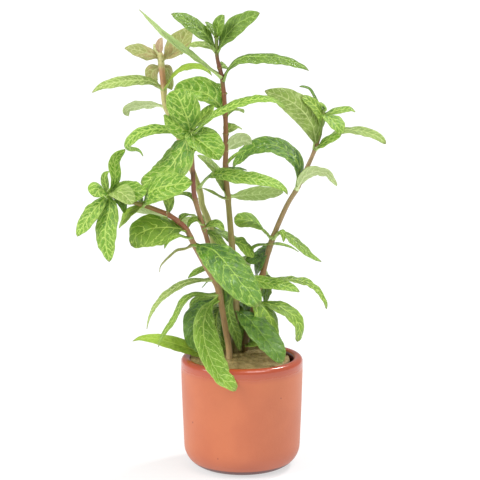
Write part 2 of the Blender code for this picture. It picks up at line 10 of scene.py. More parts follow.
import bpy
import numpy as np
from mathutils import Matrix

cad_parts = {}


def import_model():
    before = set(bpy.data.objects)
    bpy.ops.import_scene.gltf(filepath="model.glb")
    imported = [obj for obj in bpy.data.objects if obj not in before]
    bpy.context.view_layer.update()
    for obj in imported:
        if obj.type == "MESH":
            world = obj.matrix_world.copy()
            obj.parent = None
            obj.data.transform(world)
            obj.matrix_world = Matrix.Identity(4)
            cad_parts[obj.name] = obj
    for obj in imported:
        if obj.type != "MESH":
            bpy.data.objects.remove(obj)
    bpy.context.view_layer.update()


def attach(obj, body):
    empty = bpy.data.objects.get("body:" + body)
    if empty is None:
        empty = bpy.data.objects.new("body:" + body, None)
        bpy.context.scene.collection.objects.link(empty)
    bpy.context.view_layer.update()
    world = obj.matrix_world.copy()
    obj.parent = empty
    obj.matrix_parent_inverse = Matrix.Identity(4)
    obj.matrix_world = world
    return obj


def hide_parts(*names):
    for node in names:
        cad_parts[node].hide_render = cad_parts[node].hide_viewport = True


MM = 0.001

# Pot
POT_HEIGHT = 55.5
LIP_RADIUS = 30.3
LIP_ROUND = 2.5
BELLY_RADIUS = 30.1
BELLY_HEIGHT = 42.0
WAIST_RADIUS = 29.6
WAIST_HEIGHT = 26.0
FOOT_RADIUS = 29.0
FOOT_ROUND = 11.0
WALL = 5.0
FLOOR = 5.0
CAVITY_ROUND = 6.0
POT_STEPS = 160
LIP_BAND = 4.3

# Plug of mineral wool: PLUG_FULL is how much wider it is where it meets the lip, and PLUG_SHOW
# is how far down its side is made
PLUG_TOP = 54.6
PLUG_CROWN = 2.2
PLUG_RADIUS = 23.4
PLUG_FULL = 4.2
PLUG_SHOW = 12.0
PLUG_RINGS = 46
PLUG_STEPS = 150
FIBRES = 420

# Stems: each stands upright in the plug from STEM_RISE to STEM_FOOT
STEM_FOOT = 46.0
STEM_RISE = 32.3
STEM_SIDES = 16
STEM_STEP = 0.9
NODE_SWELL = 0.17
NODE_LENGTH = 1.7
RIND_TOP = 230.0

# Leaves: STALK and WIDEST are the shares of a leaf's length where its stalk ends, and of its
# blade where it is widest
STALK = 0.07
STALK_HALF = 0.95
WIDEST = 0.47
BLADE_STEP = 0.7
BLADE_THICKNESS = 0.32
MIDRIB_THICKNESS = 1.15
THICKNESS_LEVELS = 40

# Photograph's camera, and the eye that the leaves' points are read from
EYE = (-1.0, -740.0, 236.3)
LOOK_AT = (-1.0, 0.0, 113.8)
LENS = 114.4
SENSOR = 36.0

# Studio: the floor's reach, the strengths of its light and the place that the lights point at
FLOOR_REACH = 60000.0
AMBIENT = 0.43
KEY = 1.65
WINDOW = 1.0
RIM = 1.3
LIGHT_AIM = (0, 0, 100)

# Each stem: radius at its foot and at its tip, then (x, y, z) points, where y is the depth and x
# and z are as they look from EYE.
STEMS = {
    "stem_a": (1.5, 1.4, [(-6.3, 5, 58), (-9, 5.5, 80), (-12, 7, 100), (-15.8, 9, 121),
                          (-19.5, 10, 131), (-21, 11, 139), (-30, 13, 163), (-37, 15, 180),
                          (-38, 16, 190), (-39, 16, 200), (-39.3, 16, 206)]),
    "stem_b": (1.7, 0.8, [(-4, 0.5, 58), (-3, 0.5, 78), (-3.5, 1, 95), (-5, 1, 112),
                          (-7, 1.5, 136), (-8, 2, 149), (-8, 3, 173), (-9.5, 3, 192),
                          (-12, 3, 203), (-12.4, 3, 214)]),
    "stem_c": (1.3, 1.0, [(-6, -3, 58), (-8, -3, 72), (-11.3, -3.5, 86), (-14.6, -4, 101), (-17.4, -5, 115),
                          (-23, -7, 134), (-24, -8, 147), (-24.6, -9, 160),
                          (-24.8, -10, 168)]),
    "stem_d": (1.5, 1.0, [(-6.4, -9, 58), (-8.2, -9, 69), (-10, -9.5, 80), (-11.6, -10, 88),
                          (-13.4, -10.5, 93), (-17.5, -11, 100), (-23.4, -12, 111),
                          (-27, -12.5, 118.5), (-31, -13, 122.8), (-36.2, -14, 126.3),
                          (-42, -14, 128.8), (-48, -15, 131), (-54, -15, 132.7),
                          (-60, -16, 134), (-65.5, -17, 137)]),
    "stem_e": (1.6, 0.8, [(1.5, 4, 58), (2.4, 4, 66), (5, 5, 76), (10, 7, 96), (14.5, 9, 113),
                          (21.5, 11, 130), (27, 12, 139.5), (31, 13, 148), (35.3, 14, 158),
                          (38, 15, 167), (39.5, 15, 178)]),
}

# Each leaf: its kind, greatest width, fold up along the midrib, twist in degrees from root to
# tip, the way its upper face looks, then points from stem to tip. A point's depth counts from
# the leaf's own root.
LEAVES = {
    "stem_a": [
        ("olive", 9.5, -.07, 0, (.46, -1, .99), (-38.9, 0, 202), (-41, -.4, 203.5), (-44.1, -1, 204.9),
         (-48.7, -1.8, 206.3), (-52.9, -2.4, 207.2), (-56.6, -3, 207.5)),
        ("olive", 14, .37, 0, (-.49, -1, .77), (-39.3, 0, 201.6), (-34.5, .8, 204.7),
         (-29.2, 2.7, 210.2), (-25, 5, 218)),
        ("pink", 4.8, .12, 0, (-.82, -1, -.29), (-39.5, 0, 204.1), (-39.8, -1.3, 206.8),
         (-39.8, -2.2, 209.1), (-39.2, -2.6, 211), (-38.6, -3, 212.5)),
        ("olive", 4.4, 0, 0, (1, .74, -.01), (-39.7, 0, 203.7), (-40.8, 1.6, 205.6),
         (-41.8, 3.1, 207.5), (-42.4, 4, 209.5)),
        ("olive", 9, 0, 0, (-.95, -1, -.42), (-39.4, 0, 198.9), (-43, 2.7, 196.5), (-43.8, 5.2, 192.7),
         (-40.2, 7, 187.9)),
        ("olive", 9, -.21, 0, (1, -.96, -.15), (-38.9, 0, 199.4), (-36.2, 1.6, 197),
         (-35.6, 2.8, 192.7), (-33.9, 3, 187.4)),
        ("pale", 8, -.02, 0, (-.01, -.79, 1), (-37.9, 0, 187.4), (-40, 0, 189.3), (-42.3, 0, 190.8),
         (-45.8, 0, 192), (-51.2, -.7, 192.3), (-57.4, -1.5, 191.7), (-63.2, -2, 190.7),
         (-68.2, -2.1, 189.2), (-72.7, -3, 186.2)),
        ("lime", 7, .02, 0, (-.37, -.42, 1), (-37.7, 0, 187.4), (-35.3, -.7, 191.8),
         (-33, -1.7, 194.9), (-29.9, -3, 197.4), (-26, -3.8, 198.7), (-21.8, -5.2, 198.8),
         (-17.9, -6.6, 198), (-14.5, -8, 194.5)),
        ("pale", 10, 0, 0, (-.3, .75, 1), (-36.8, 0, 178.9), (-39.7, 1.8, 180), (-42.8, 3.7, 180.6),
         (-47, 6.7, 180.5), (-51.7, 9.4, 179.7), (-54.8, 11, 178.7), (-56, 11.9, 176.9),
         (-55.1, 13, 174.7)),
        ("mid", 9, .2, 0, (0, .3, 1), (-37, 0, 179.5), (-33, 7, 182), (-27, 15, 179), (-23, 21, 172)),
        ("mid", 11, .2, 0, (0, .3, 1), (-30, 0, 163), (-29, 12, 168), (-27, 24, 167.5), (-26, 35, 161)),
        ("net", 9.5, .05, 0, (-.13, -.67, 1), (-21.1, 0, 139.6), (-19.6, -3, 142.1),
         (-17.2, -6.6, 144.9), (-14.1, -10.7, 146.7), (-9.8, -14, 146.7), (-5.1, -17.2, 145.7),
         (0, -19, 144.9), (5.1, -20.2, 144.4), (9.7, -21.1, 143.5), (14.4, -21.7, 142.3),
         (18.4, -21.9, 140.6), (21.1, -22, 138.7), (22.4, -22, 136.4)),
        ("mid", 9, .2, 0, (0, .2, 1), (-21, 0, 139.5), (-25, 7, 143), (-30, 15, 142), (-35, 22, 137)),
        ("mid", 9, 0, 0, (.59, -.37, 1), (-15.7, 0, 120.8), (-9.8, 1.1, 117.2), (-3.6, 2.3, 114),
         (2, 3.1, 111.6), (5.9, 3.5, 109.2)),
        ("mid", 9, .2, 0, (-.3, .3, 1), (-16, 0, 121), (-20, 6.5, 125), (-26, 13.5, 124), (-31, 19.5, 118)),
        ("mid", 10, .2, 0, (0, .4, 1), (-12, 0, 100), (-12, 12, 106), (-10, 24, 106.5), (-8, 35, 100)),
        ("mid", 6, 0, 0, (-.26, -.36, 1), (-12.2, 0, 101.3), (-16.8, -.8, 100.5), (-20.7, -2.1, 99.1),
         (-23.9, -3.5, 97.1), (-26.7, -5, 94.9)),
        ("dark", 14, .02, 0, (-.84, -1, .64), (-13.3, 0, 85.2), (-16.4, -1.1, 82.8), (-20.2, -2.9, 80),
         (-22.6, -4.6, 76.7), (-23.8, -6, 72.9), (-24.2, -7.6, 68.6), (-23.5, -9.3, 64.5),
         (-21.7, -11.2, 60.9), (-20.5, -13.5, 57.2)),
        ("mid", 11, .2, 0, (.4, .5, 1), (-9.2, 0, 82), (-3, 7.5, 87), (4, 14.5, 84), (11, 19.5, 76)),
        ("lime", 8.5, 0, 0, (.67, -.91, 1), (-8, 0, 54.2), (-14.9, -1.9, 55.8), (-20.9, -3.8, 57.5),
         (-25.9, -5.3, 59.3), (-30.8, -6.8, 60.9), (-35.8, -8.1, 62.4), (-40.8, -8.6, 63.7),
         (-45.7, -9, 64.4), (-50.7, -9.6, 64.3), (-54.5, -10, 62.9)),
        ("mid", 12, 0, 0, (-.6, -1, .3), (-8.9, 0, 81.7), (-12.4, 2.7, 76.6), (-12.4, 5.1, 68.5),
         (-10, 5, 55.8)),
    ],
    "stem_b": [
        ("top", 10, 0, 0, (.75, -1, .8), (-12.4, 0, 206.6), (-14.5, -.5, 210), (-17.2, -1, 213.7),
         (-20.3, -1.4, 216.1), (-24, -1.8, 219), (-27.4, -2.3, 221.2), (-30.7, -2.6, 222.6),
         (-34, -3, 223.9)),
        ("top", 12, -.03, 0, (-.76, -1, .69), (-12, 0, 205.6), (-10.4, -.4, 208.7), (-8.7, -.9, 212.1),
         (-6.2, -1.3, 215.4), (-3.3, -1.7, 218.2), (-.2, -2.1, 220.4), (3.6, -2.5, 222.4),
         (8.4, -3, 224.4)),
        ("top", 9, .04, 0, (-1, -.71, .03), (-12.2, 0, 211.8), (-12, -1.6, 214.8),
         (-11.5, -3.1, 218.2), (-10.1, -3.6, 221.3), (-8.7, -4, 223.3)),
        ("top", 8, .19, 0, (1, -.61, .85), (-13, 0, 213), (-14.5, 1.9, 216.1), (-15.7, 3.1, 218.3),
         (-17.6, 4, 220.2)),
        ("pale", 7, -.03, 0, (-.17, -.36, 1), (-12.6, 0, 206.1), (-16.4, 2.7, 208.7),
         (-22.2, 5.9, 209.7), (-26, 7.7, 208.3), (-29.4, 9, 204.4)),
        ("mid", 5, -.19, 0, (1, -.15, .9), (-10.2, 0, 198), (-9.1, 4.5, 199.4), (-7.6, 8.3, 199.3),
         (-6.5, 14, 196.8)),
        ("spear", 7, .2, 0, (-.2, -.45, 1), (-9.8, 0, 194), (-17, -2, 199), (-26, -4, 205.3),
         (-35, -6, 211.8), (-43, -7, 219.3), (-49.2, -8, 226)),
        ("top", 10, -.24, 0, (-.06, -.52, 1), (-9.9, 0, 192.2), (-7.6, -1, 196.2), (-4.9, -2, 199.8),
         (-1.8, -2.5, 202.3), (2.9, -3, 203.5), (8.6, -3.7, 203.7), (14.4, -4.3, 203.5),
         (20.2, -4.8, 202.5), (25.2, -5.3, 200.8), (29.5, -5.7, 198.9), (32.3, -6, 196.8)),
        ("net", 15, .58, 0, (.16, -1, .98), (-8.4, 0, 176.5), (-10.1, 0, 178.9), (-13, .2, 182.3),
         (-16.3, .9, 184.9), (-19.8, 1.4, 186.3), (-24.4, 2, 187.2), (-28.7, 2.5, 187.9),
         (-32.9, 3, 187.9)),
        ("mid", 7, .2, 0, (0, .1, 1), (-8.6, 0, 175), (-4.5, 5, 178), (-2, 8, 178), (1, 11, 176.5)),
        ("silver", 8, .06, 0, (.06, -.4, 1), (-7.9, 0, 166), (-6.1, 3.1, 168.9), (-3.5, 5.7, 170.2),
         (-.2, 9, 168.7)),
        ("pale", 9.5, .28, 0, (-.52, 1, .75), (-8.2, 0, 157.8), (-5.9, 1.2, 160.2), (-2.4, 2.4, 162.1),
         (1.1, 3.2, 162.9), (4.8, 4, 161.3)),
        ("leafy", 9.5, -.01, 0, (-.42, 1, .82), (-7.7, 0, 135.5), (-4.3, 1.9, 135.7), (0, 4.2, 136.4),
         (4.3, 6.1, 136.7), (9, 8, 137), (13.7, 9.4, 137.2), (20.1, 11.5, 137.5)),
        ("pale", 4, 0, 0, (.61, -.23, 1), (-7.9, 0, 134.6), (-9.8, -.6, 135.2), (-12.2, -1.3, 136.5),
         (-14.9, -1.9, 137.9), (-17.6, -2.6, 139), (-19.2, -3, 139.7)),
        ("mid", 9, .2, 0, (0, .5, 1), (-3.8, 0, 99), (-3, 11, 104), (0, 20, 104), (3, 28, 98)),
        ("net", 10, .09, 0, (-.12, -.42, 1), (1.5, 0, 94.4), (6.7, -1.9, 93.8), (11.4, -3.7, 92.4),
         (16.3, -5.5, 91.8), (21.2, -6.9, 90.9), (25.2, -7.5, 89.6), (28.5, -8, 87.9)),
        ("dark", 9, 0, 0, (-.5, -.18, 1), (-3.5, 0, 93), (-5, 11, 98), (-13, 20, 97), (-20, 26, 90)),
        ("dark", 17, .19, 0, (.49, -.67, 1), (-3, 0, 78.6), (.5, -4.1, 76.6), (4, -8.2, 73.6),
         (7.9, -12.7, 69), (12.2, -16.3, 63.4), (16.4, -19.2, 57.8), (19.9, -21.5, 51.4)),
        ("dark", 10, .2, 0, (-.2, .5, 1), (-3, 0, 77), (-6, 13.5, 83), (-10, 21.5, 82),
         (-14, 28.5, 74)),
        ("top", 6, .2, 0, (0, -1, 0), (-3, 0, 88.2), (-5.2, -2.3, 84.7), (-6.7, -3.9, 79.1),
         (-5.2, -4.6, 72.1), (-2.5, -5.5, 65.4), (-1.2, -5.5, 57.8)),
        ("net", 10, .2, 0, (0, .4, 1), (-9, 0, 186), (-13, 12, 190), (-17, 24, 189.5), (-20, 34, 184)),
        ("dark", 12, .1, 0, (-.1, -1, .2), (-3, 0, 84), (-3.5, 5, 79), (-5, 7, 70), (-5.5, 9, 59)),
        ("silver", 9, -.03, 0, (1, -.52, .69), (-7.9, 0, 135), (-9.3, 1, 141.1), (-12, 1.9, 147.8),
         (-16.5, 2.5, 152.8), (-21.7, 3, 155.9)),
        ("net", 4, .02, 0, (-.44, -.24, 1), (-7.2, 0, 151.1), (-5.2, 3, 154.3), (-2.3, 5.9, 156.6),
         (1.1, 9, 158.5)),
        ("dark", 4.5, .07, 0, (.25, -.12, 1), (-7.2, 0, 149.7), (-3.5, 3.4, 149.3), (-.3, 6.2, 149.1),
         (2.5, 8, 148.5)),
        ("dark", 13, 0, 0, (-1, -.54, .03), (-5.4, 0, 101.8), (-7.4, 2.1, 97.3), (-8.9, 4.3, 90.8),
         (-9.9, 5.8, 82.7), (-10.4, 7, 74.6)),
        ("leafy", 11, -.08, 0, (1, -.48, .74), (-4, 0, 113.8), (-.5, 1.7, 112.3), (2.9, 3.7, 109.8),
         (6.4, 6, 106.3)),
    ],
    "stem_c": [
        ("net", 16, .2, 0, (.3, -1, .2), (-24.8, 0, 166), (-26.5, -2, 173), (-29, -2, 180), (-31.5, 0, 185),
         (-34, 4, 187)),
        ("net", 13.5, -.19, 0, (1, -.56, .84), (-25.5, 0, 166.8), (-28.4, -3.2, 168.4),
         (-31.9, -6.2, 170.1), (-35, -8.2, 172.1), (-37.9, -10, 175.2)),
        ("net", 7.6, -.08, 0, (-.17, -.77, 1), (-25.5, 0, 165.8), (-29.2, -.7, 167.4),
         (-33.1, -1.4, 168.1), (-38.5, -2.3, 168.6), (-43.6, -3, 168.5), (-48.6, -3.8, 167.2),
         (-52.5, -4, 165.1), (-55.3, -4, 162.3), (-56, -4, 160), (-54.6, -4, 158.5),
         (-51.6, -4, 158.3), (-49.7, -4, 157.2), (-48.4, -4, 155)),
        ("bright", 23, -.12, 0, (-1, -.89, .7), (-24.5, 0, 167.5), (-26.9, -3.3, 163.6),
         (-29.2, -4.4, 159.3), (-31.9, -5, 154.6), (-35.9, -5, 149.2), (-42.4, -4.7, 144.6),
         (-49.6, -4, 142.4)),
        ("net", 17, .4, 0, (.17, -.64, 1), (-25.1, 0, 165.4), (-22.2, -3.9, 163.5),
         (-18.7, -7.3, 161.2), (-14.8, -9.8, 158), (-11.1, -12, 153.3)),
        ("leafy", 11, .04, 0, (-.75, -.53, 1), (-23, 0, 168.5), (-20.5, 3.9, 172.4),
         (-17.4, 7.3, 176.7), (-14.4, 10, 180.5)),
        ("net", 9, -.01, 0, (-.43, -.43, 1), (-25.5, 0, 165.4), (-21.4, -1.3, 168.8),
         (-17.5, -2.3, 172.3), (-13.6, -2.9, 175.6), (-8.8, -3.3, 178.2), (-2, -3.9, 181),
         (2.9, -4, 182.5), (7.5, -4, 183.1), (11.8, -3.7, 183.3), (15.7, -3.2, 182.5),
         (18.8, -2.7, 180.8), (22, -2, 178)),
        ("net", 9, -.06, 0, (.1, -.33, 1), (-24.1, 0, 165.4), (-19.9, 3.3, 167), (-15.6, 6.4, 168),
         (-12.1, 8, 166.6), (-10.1, 8, 163.5)),
        ("mid", 5, .2, 0, (0, -.2, 1), (-23, 0, 134), (-26.5, 4, 136.3), (-30, 7, 136.8), (-35, 11, 135.5)),
        ("mid", 4, .2, 0, (-.3, -.6, 1), (-19.5, 0, 121.5), (-22, -2, 124), (-25.2, -3, 123),
         (-27, -3, 119.5)),
        ("mid", 6, .2, 0, (0, -.6, 1), (-18.8, 0, 120), (-16, -1, 121.5), (-12, -2, 121.8),
         (-8.5, -2, 118.5)),
        ("mid", 6, 0, 0, (-.15, -.25, 1), (-12.9, 0, 85.8), (-16.8, .8, 85.2), (-20.8, .5, 85),
         (-23.6, -.1, 83.8), (-25.4, -.6, 81.8), (-26, -1, 79.6)),
        ("net", 9, 0, 0, (1, -.47, .84), (-24.8, 0, 166.7), (-24.6, -3.4, 164.1), (-24, -6.6, 161),
         (-23.4, -9, 157.5)),
        ("mid", 8, 0, 0, (1, -.5, .73), (-16.2, 0, 119.8), (-13.3, 2, 115.8), (-9.9, 3, 112.3),
         (-5.9, 4, 108.8)),
    ],
    "stem_d": [
        ("deep", 21, -.09, 0, (.4, -.84, 1), (-22.3, 0, 112.3), (-15, -9, 109.4), (-9.7, -14.1, 104.6),
         (-5.3, -17.9, 99.1), (-.8, -20.8, 93.2), (3.7, -22.3, 87.6), (8.3, -24, 80.7)),
        ("olive", 2.4, 0, 0, (-1, -.31, .77), (-25.6, 0, 111.1), (-28.4, 1.8, 109.7),
         (-32.3, 4.1, 108.7), (-35.9, 6.6, 105.7), (-39.5, 8.4, 102.1), (-40.7, 9.3, 99.9),
         (-40.9, 10, 97.7)),
        ("mid", 5, .03, 0, (.1, -.23, 1), (-26, 0, 114.3), (-28.7, -3.8, 115.8), (-31.9, -6.9, 116.3),
         (-35.2, -8, 114.7), (-37.2, -8.5, 112.5), (-38.4, -9, 109.6)),
        ("leafy", 19, -.14, 0, (.06, -1, .94), (-27.5, 0, 118.8), (-32.6, -2, 119.7),
         (-38.1, -3.7, 120.2), (-43.2, -4.8, 119.7), (-48.2, -5.6, 118.3), (-51.9, -5.5, 115.8),
         (-54.7, -4, 110.9)),
        ("mid", 5, .2, 0, (0, -.1, 1), (-31, 0, 122.8), (-28.5, 6, 126), (-25, 11, 126.5), (-22, 15, 124)),
        ("pale", 6, 0, 0, (.42, .78, 1), (-36.3, 0, 126.6), (-41, 1.2, 127), (-45.4, 2.9, 127.9),
         (-49.9, 4.5, 128.7), (-54.3, 5.4, 129), (-58.2, 6, 128.6)),
        ("mid", 7, .03, 0, (1, -.99, .33), (-36, 0, 126.5), (-35.8, 1.5, 130.1), (-35.9, 2.6, 134),
         (-36.6, 3, 137.6), (-37.6, 3, 141.1)),
        ("net", 17, .06, 0, (-1, -.89, .89), (-48, 0, 131.1), (-46.4, -5.7, 136), (-43.1, -9.4, 138.8),
         (-38.7, -12.5, 140.4), (-33.7, -14.5, 141.1), (-28.6, -15, 141.9), (-24.3, -15, 142.3)),
        ("mid", 8, .2, 0, (0, .5, 1), (-48, 0, 131.3), (-52, 7, 136), (-56, 14, 137), (-60, 20, 133)),
        ("net", 8, .05, 0, (1, -.8, .28), (-65, 0, 137.4), (-62.8, 0, 140.8), (-61.6, 0, 144.7),
         (-62.1, .6, 149), (-62, 1.2, 152.5), (-60.7, 1.8, 155.3), (-58.8, 2, 156.9),
         (-56.8, 2, 158.5)),
        ("mid", 4, .2, 0, (-.4, -1, .6), (-65.3, 0, 137), (-67, 2, 142.5), (-67, 3, 146), (-65, 4, 148)),
        ("net", 12, -.05, 0, (.51, -.49, 1), (-65.4, 0, 136.9), (-68, -3.5, 138.6),
         (-70.5, -5.7, 138.3), (-72.5, -8, 135.3)),
        ("net", 10, 0, 0, (-.59, -1, .7), (-65.5, 0, 136.8), (-68.6, -2.4, 133.3),
         (-72.2, -4.5, 129.3), (-75.2, -5.6, 125.3), (-77.8, -6.3, 121.4), (-79.8, -6.7, 118.2),
         (-81.1, -7, 115.6)),
        ("net", 13, -.1, 0, (-.68, -1, .41), (-65.4, 0, 137), (-64.9, -3.5, 132.5),
         (-65.1, -5.5, 128.5), (-66.3, -6.8, 123.7), (-67.2, -8, 119.4), (-67.3, -8.6, 114.6),
         (-66.8, -9, 109.8), (-65.9, -9, 105.4), (-65.6, -9, 102.8)),
        ("net", 14, -.1, 0, (-.02, -.84, 1), (-64.8, 0, 136.9), (-60.5, -1.7, 138.9),
         (-55.6, -2.6, 138.6), (-50.7, -3, 138.1), (-46.2, -3, 138.6)),
        ("silver", 10, .2, 0, (.3, -1, .7), (-65, 0, 136.8), (-61, -6, 138), (-57, -10, 135.7),
         (-53.5, -12, 131.5)),
        ("loops", 16.5, .35, 0, (1, -.88, .78), (-12.9, 0, 84.7), (-15.3, -3.2, 81.6),
         (-17.5, -6.3, 78.2), (-18.8, -9.7, 73.6), (-19.1, -12.9, 68.2), (-18.4, -16.2, 62.3),
         (-16.4, -19.2, 55.6), (-13.3, -21.9, 48.9), (-9.1, -23.5, 42.9), (-2.9, -25, 37.6)),
        ("mid", 6, 0, 0, (-1, -.54, .48), (-12.9, 0, 86.8), (-17.3, .7, 86.6), (-21.8, 1, 86.9),
         (-25.2, .8, 86.2), (-28.2, .1, 84.5), (-30.5, 0, 81.4), (-32.2, 0, 77.9), (-34, 0, 74.1),
         (-36.7, 0, 70), (-39.5, 0, 66), (-41, 0, 62.9), (-41.8, 0, 59.8)),
        ("pale", 6, 0, 0, (-.96, -.62, 1), (-13.6, 0, 94.5), (-17.6, 1.1, 93.9), (-22.3, 2.3, 93.7),
         (-26.7, 3.5, 92.9), (-31, 4.6, 91.1), (-35.4, 5.7, 88.4), (-39.4, 7, 85.2), (-43, 8.5, 81),
         (-45.4, 9.6, 76.5), (-46.8, 10.3, 72.5), (-47.5, 11, 68.9)),
        ("lime", 9, -.03, 0, (-1, -.55, .79), (-48.8, 0, 130.1), (-52.1, .8, 129.4),
         (-55.5, 1.8, 127.4), (-58.3, 2.8, 124.1), (-60.6, 4, 119.7)),
        ("dark", 9, 0, 0, (1, -.49, .89), (-65.1, 0, 136.5), (-62, 1, 135.3), (-59.3, 1, 132.8),
         (-57.6, 1.1, 130.3), (-57.1, 2, 127.4)),
    ],
    "stem_e": [
        ("net", 11, .21, 0, (.35, -.5, 1), (39.3, 0, 175.1), (41.7, -4, 174.6), (44, -7.1, 172.7),
         (46, -9.6, 170.1), (47.1, -10.9, 167.8), (47.5, -12, 165.7)),
        ("net", 6, -.04, 0, (-.1, -.55, 1), (39.4, 0, 175.6), (42.7, .7, 176.6), (45.9, 1.3, 177.5),
         (48.8, 1.8, 178.1), (51, 2.2, 178.4), (53, 2.5, 178.2), (55.1, 3, 176.8)),
        ("dark", 2.8, 0, 0, (1, -.6, .51), (39.7, 0, 178.2), (37.5, .6, 180.4), (35.6, 1.3, 183.5),
         (34.1, 2, 186.4), (32.4, 1.9, 188.3), (30, 1.6, 189.1), (27.8, 1, 189.2)),
        ("leafy", 8, 0, 0, (1, -.83, .37), (38.2, 0, 166), (38.9, -.7, 171.7), (37.6, -1.5, 177.2),
         (33.7, -2.8, 181.3), (28.8, -4, 184.4)),
        ("net", 6, .07, 0, (1, -.89, .74), (39.4, 0, 175.8), (39.2, 1, 177.9), (38.7, 2, 179.8),
         (37.8, 3, 181.6)),
        ("pale", 13.5, 0, 0, (-.1, -1, .7), (35.9, 0, 158.5), (35.6, -1.4, 164), (34.1, -2.9, 170.2),
         (30.6, -4.1, 175.9), (25.4, -5.2, 180.6), (19.5, -5.8, 184), (10.9, -6, 187)),
        ("silver", 8, .01, -70, (.09, -.34, 1), (35.9, 0, 158.6), (39.9, 1, 162), (44.2, 1.7, 165.8),
         (49, 2.5, 167.9), (53.5, 2.9, 168), (58.1, 3, 167.5), (62.7, 3, 166.3), (67, 3, 164.3),
         (70.1, 3, 161.2)),
        ("net", 8, -.06, 0, (-.82, -.53, 1), (36.2, 0, 158.6), (39.2, -2.2, 161.6),
         (42.5, -3.3, 163.8), (45.7, -4, 165.1), (48.3, -4, 166.1)),
        ("deep", 16, .01, 0, (.23, -.47, 1), (27.3, 0, 140.2), (27.8, 1, 147.2), (27.2, 1.6, 152),
         (24, 2, 156.4), (18.3, 2.7, 159.8), (12, 3, 161), (6.3, 3, 160.2), (1.7, 3.3, 157.4),
         (-2.5, 3.8, 153), (-4.6, 4, 150.1)),
        ("silver", 11, -.03, 0, (-.06, .64, 1), (26.4, 0, 138.6), (28.3, -.6, 142.5),
         (30.5, -1.3, 145.7), (33.7, -2.1, 147.7), (37.1, -2.8, 148.3), (41, -3.5, 147.2),
         (43.9, -4, 144.5), (46.4, -4, 140.6)),
        ("leafy", 17, 0, 60, (.6, -.16, 1), (14.7, 0, 114.6), (11.8, -.6, 117.8), (8.3, -1, 121.3),
         (4.3, -1, 123.4), (0, -.7, 124.2), (-3.8, 0, 125.1)),
        ("mid", 9, -.05, 0, (.68, -.43, 1), (14.9, 0, 113.8), (16.7, -.6, 116.2), (19, -1.1, 117.7),
         (22, -1.9, 116.6), (25, -2.7, 114.4), (28.5, -3.9, 111.4), (32.1, -5.1, 108.1),
         (35.7, -5.6, 105.1), (39.2, -6, 103.1)),
        ("mid", 4, 0, 0, (-.14, -.25, 1), (15.6, 0, 115), (16.9, -1.9, 117.1), (18.5, -3.6, 118.4),
         (19.9, -4.8, 117.8), (20.5, -5.4, 115.6), (20.5, -6, 112.8)),
        ("mid", 4, .04, 0, (.56, -.12, 1), (14.4, 0, 112.5), (17.9, 3.9, 112), (21.1, 7.2, 111.4),
         (24.8, 10.8, 110), (28.1, 14, 108)),
        ("dark", 13, -.06, 0, (-.82, -.41, 1), (14.3, 0, 111.8), (10.8, 4, 108.1), (6.9, 4.9, 105.6),
         (1.5, 6, 104.3)),
        ("mid", 4, 0, 0, (-.15, -.14, 1), (13.9, 0, 112.1), (12, 0, 111.9), (9, -.9, 111.7),
         (6.4, -2, 111), (4.6, -2.9, 109.3), (3.4, -4, 106.8)),
        ("leafy", 8, -.01, -40, (.27, -.27, 1), (10.4, 0, 95.5), (14.6, 1.9, 94.6), (19.6, 3.9, 94.5),
         (24.5, 5.8, 94.3), (28.5, 7.2, 93.6), (32.4, 8.3, 92.8), (35.7, 9.1, 90.4), (38.4, 9.7, 87.7),
         (40.4, 10, 84.7), (41.6, 10, 81.7), (42, 10, 79.1)),
        ("mid", 12, .04, 0, (-1, -.48, -.12), (10.4, 0, 95.5), (11.7, 4.1, 97.8), (12.1, 5.3, 95.1),
         (11.9, 7.1, 90.4), (11.7, 7.5, 86.4), (11, 8, 81.8)),
        ("leafy", 13, 0, 0, (.59, -.44, 1), (6.4, 0, 82.7), (11.9, -1.6, 82.2), (17.6, -3, 80.7),
         (23.3, -4.1, 77.9), (27.3, -5.1, 73.6), (28.8, -5.9, 68.5), (27.6, -6.7, 62.4)),
        ("leafy", 15, -.34, 0, (.89, -.88, 1), (3.9, 0, 83.7), (7.9, -4, 82.2), (11.4, -6.6, 79.1),
         (13.9, -8.6, 75.1), (15.4, -10.2, 70), (16.4, -11.7, 64.4)),
        ("mid", 7, .2, 0, (0, -.8, 1), (2, 0, 61), (5, -6, 61.5), (9, -12, 61)),
        ("mid", 9, .2, 0, (.2, .5, 1), (3.2, 0, 67), (9, 11, 71), (14, 22, 68), (17, 32, 61)),
        ("dark", 11, .1, 0, (.1, -1, .2), (5, 0, 80), (3.5, 5, 76), (1.5, 8, 68), (1, 10, 59)),
        ("dark", 13, 0, 0, (-1, -.48, .18), (8.4, 0, 96.3), (4.9, 3.2, 89.7), (2.5, 5.2, 83.7),
         (.5, 7.1, 77.6), (-.5, 8, 71.5)),
        ("dark", 14, .12, 0, (-1, -.31, .32), (13.3, 0, 108.8), (9.8, 1.9, 105.3), (7.6, 3.8, 100.8),
         (6.9, 5, 95.3)),
    ],
}

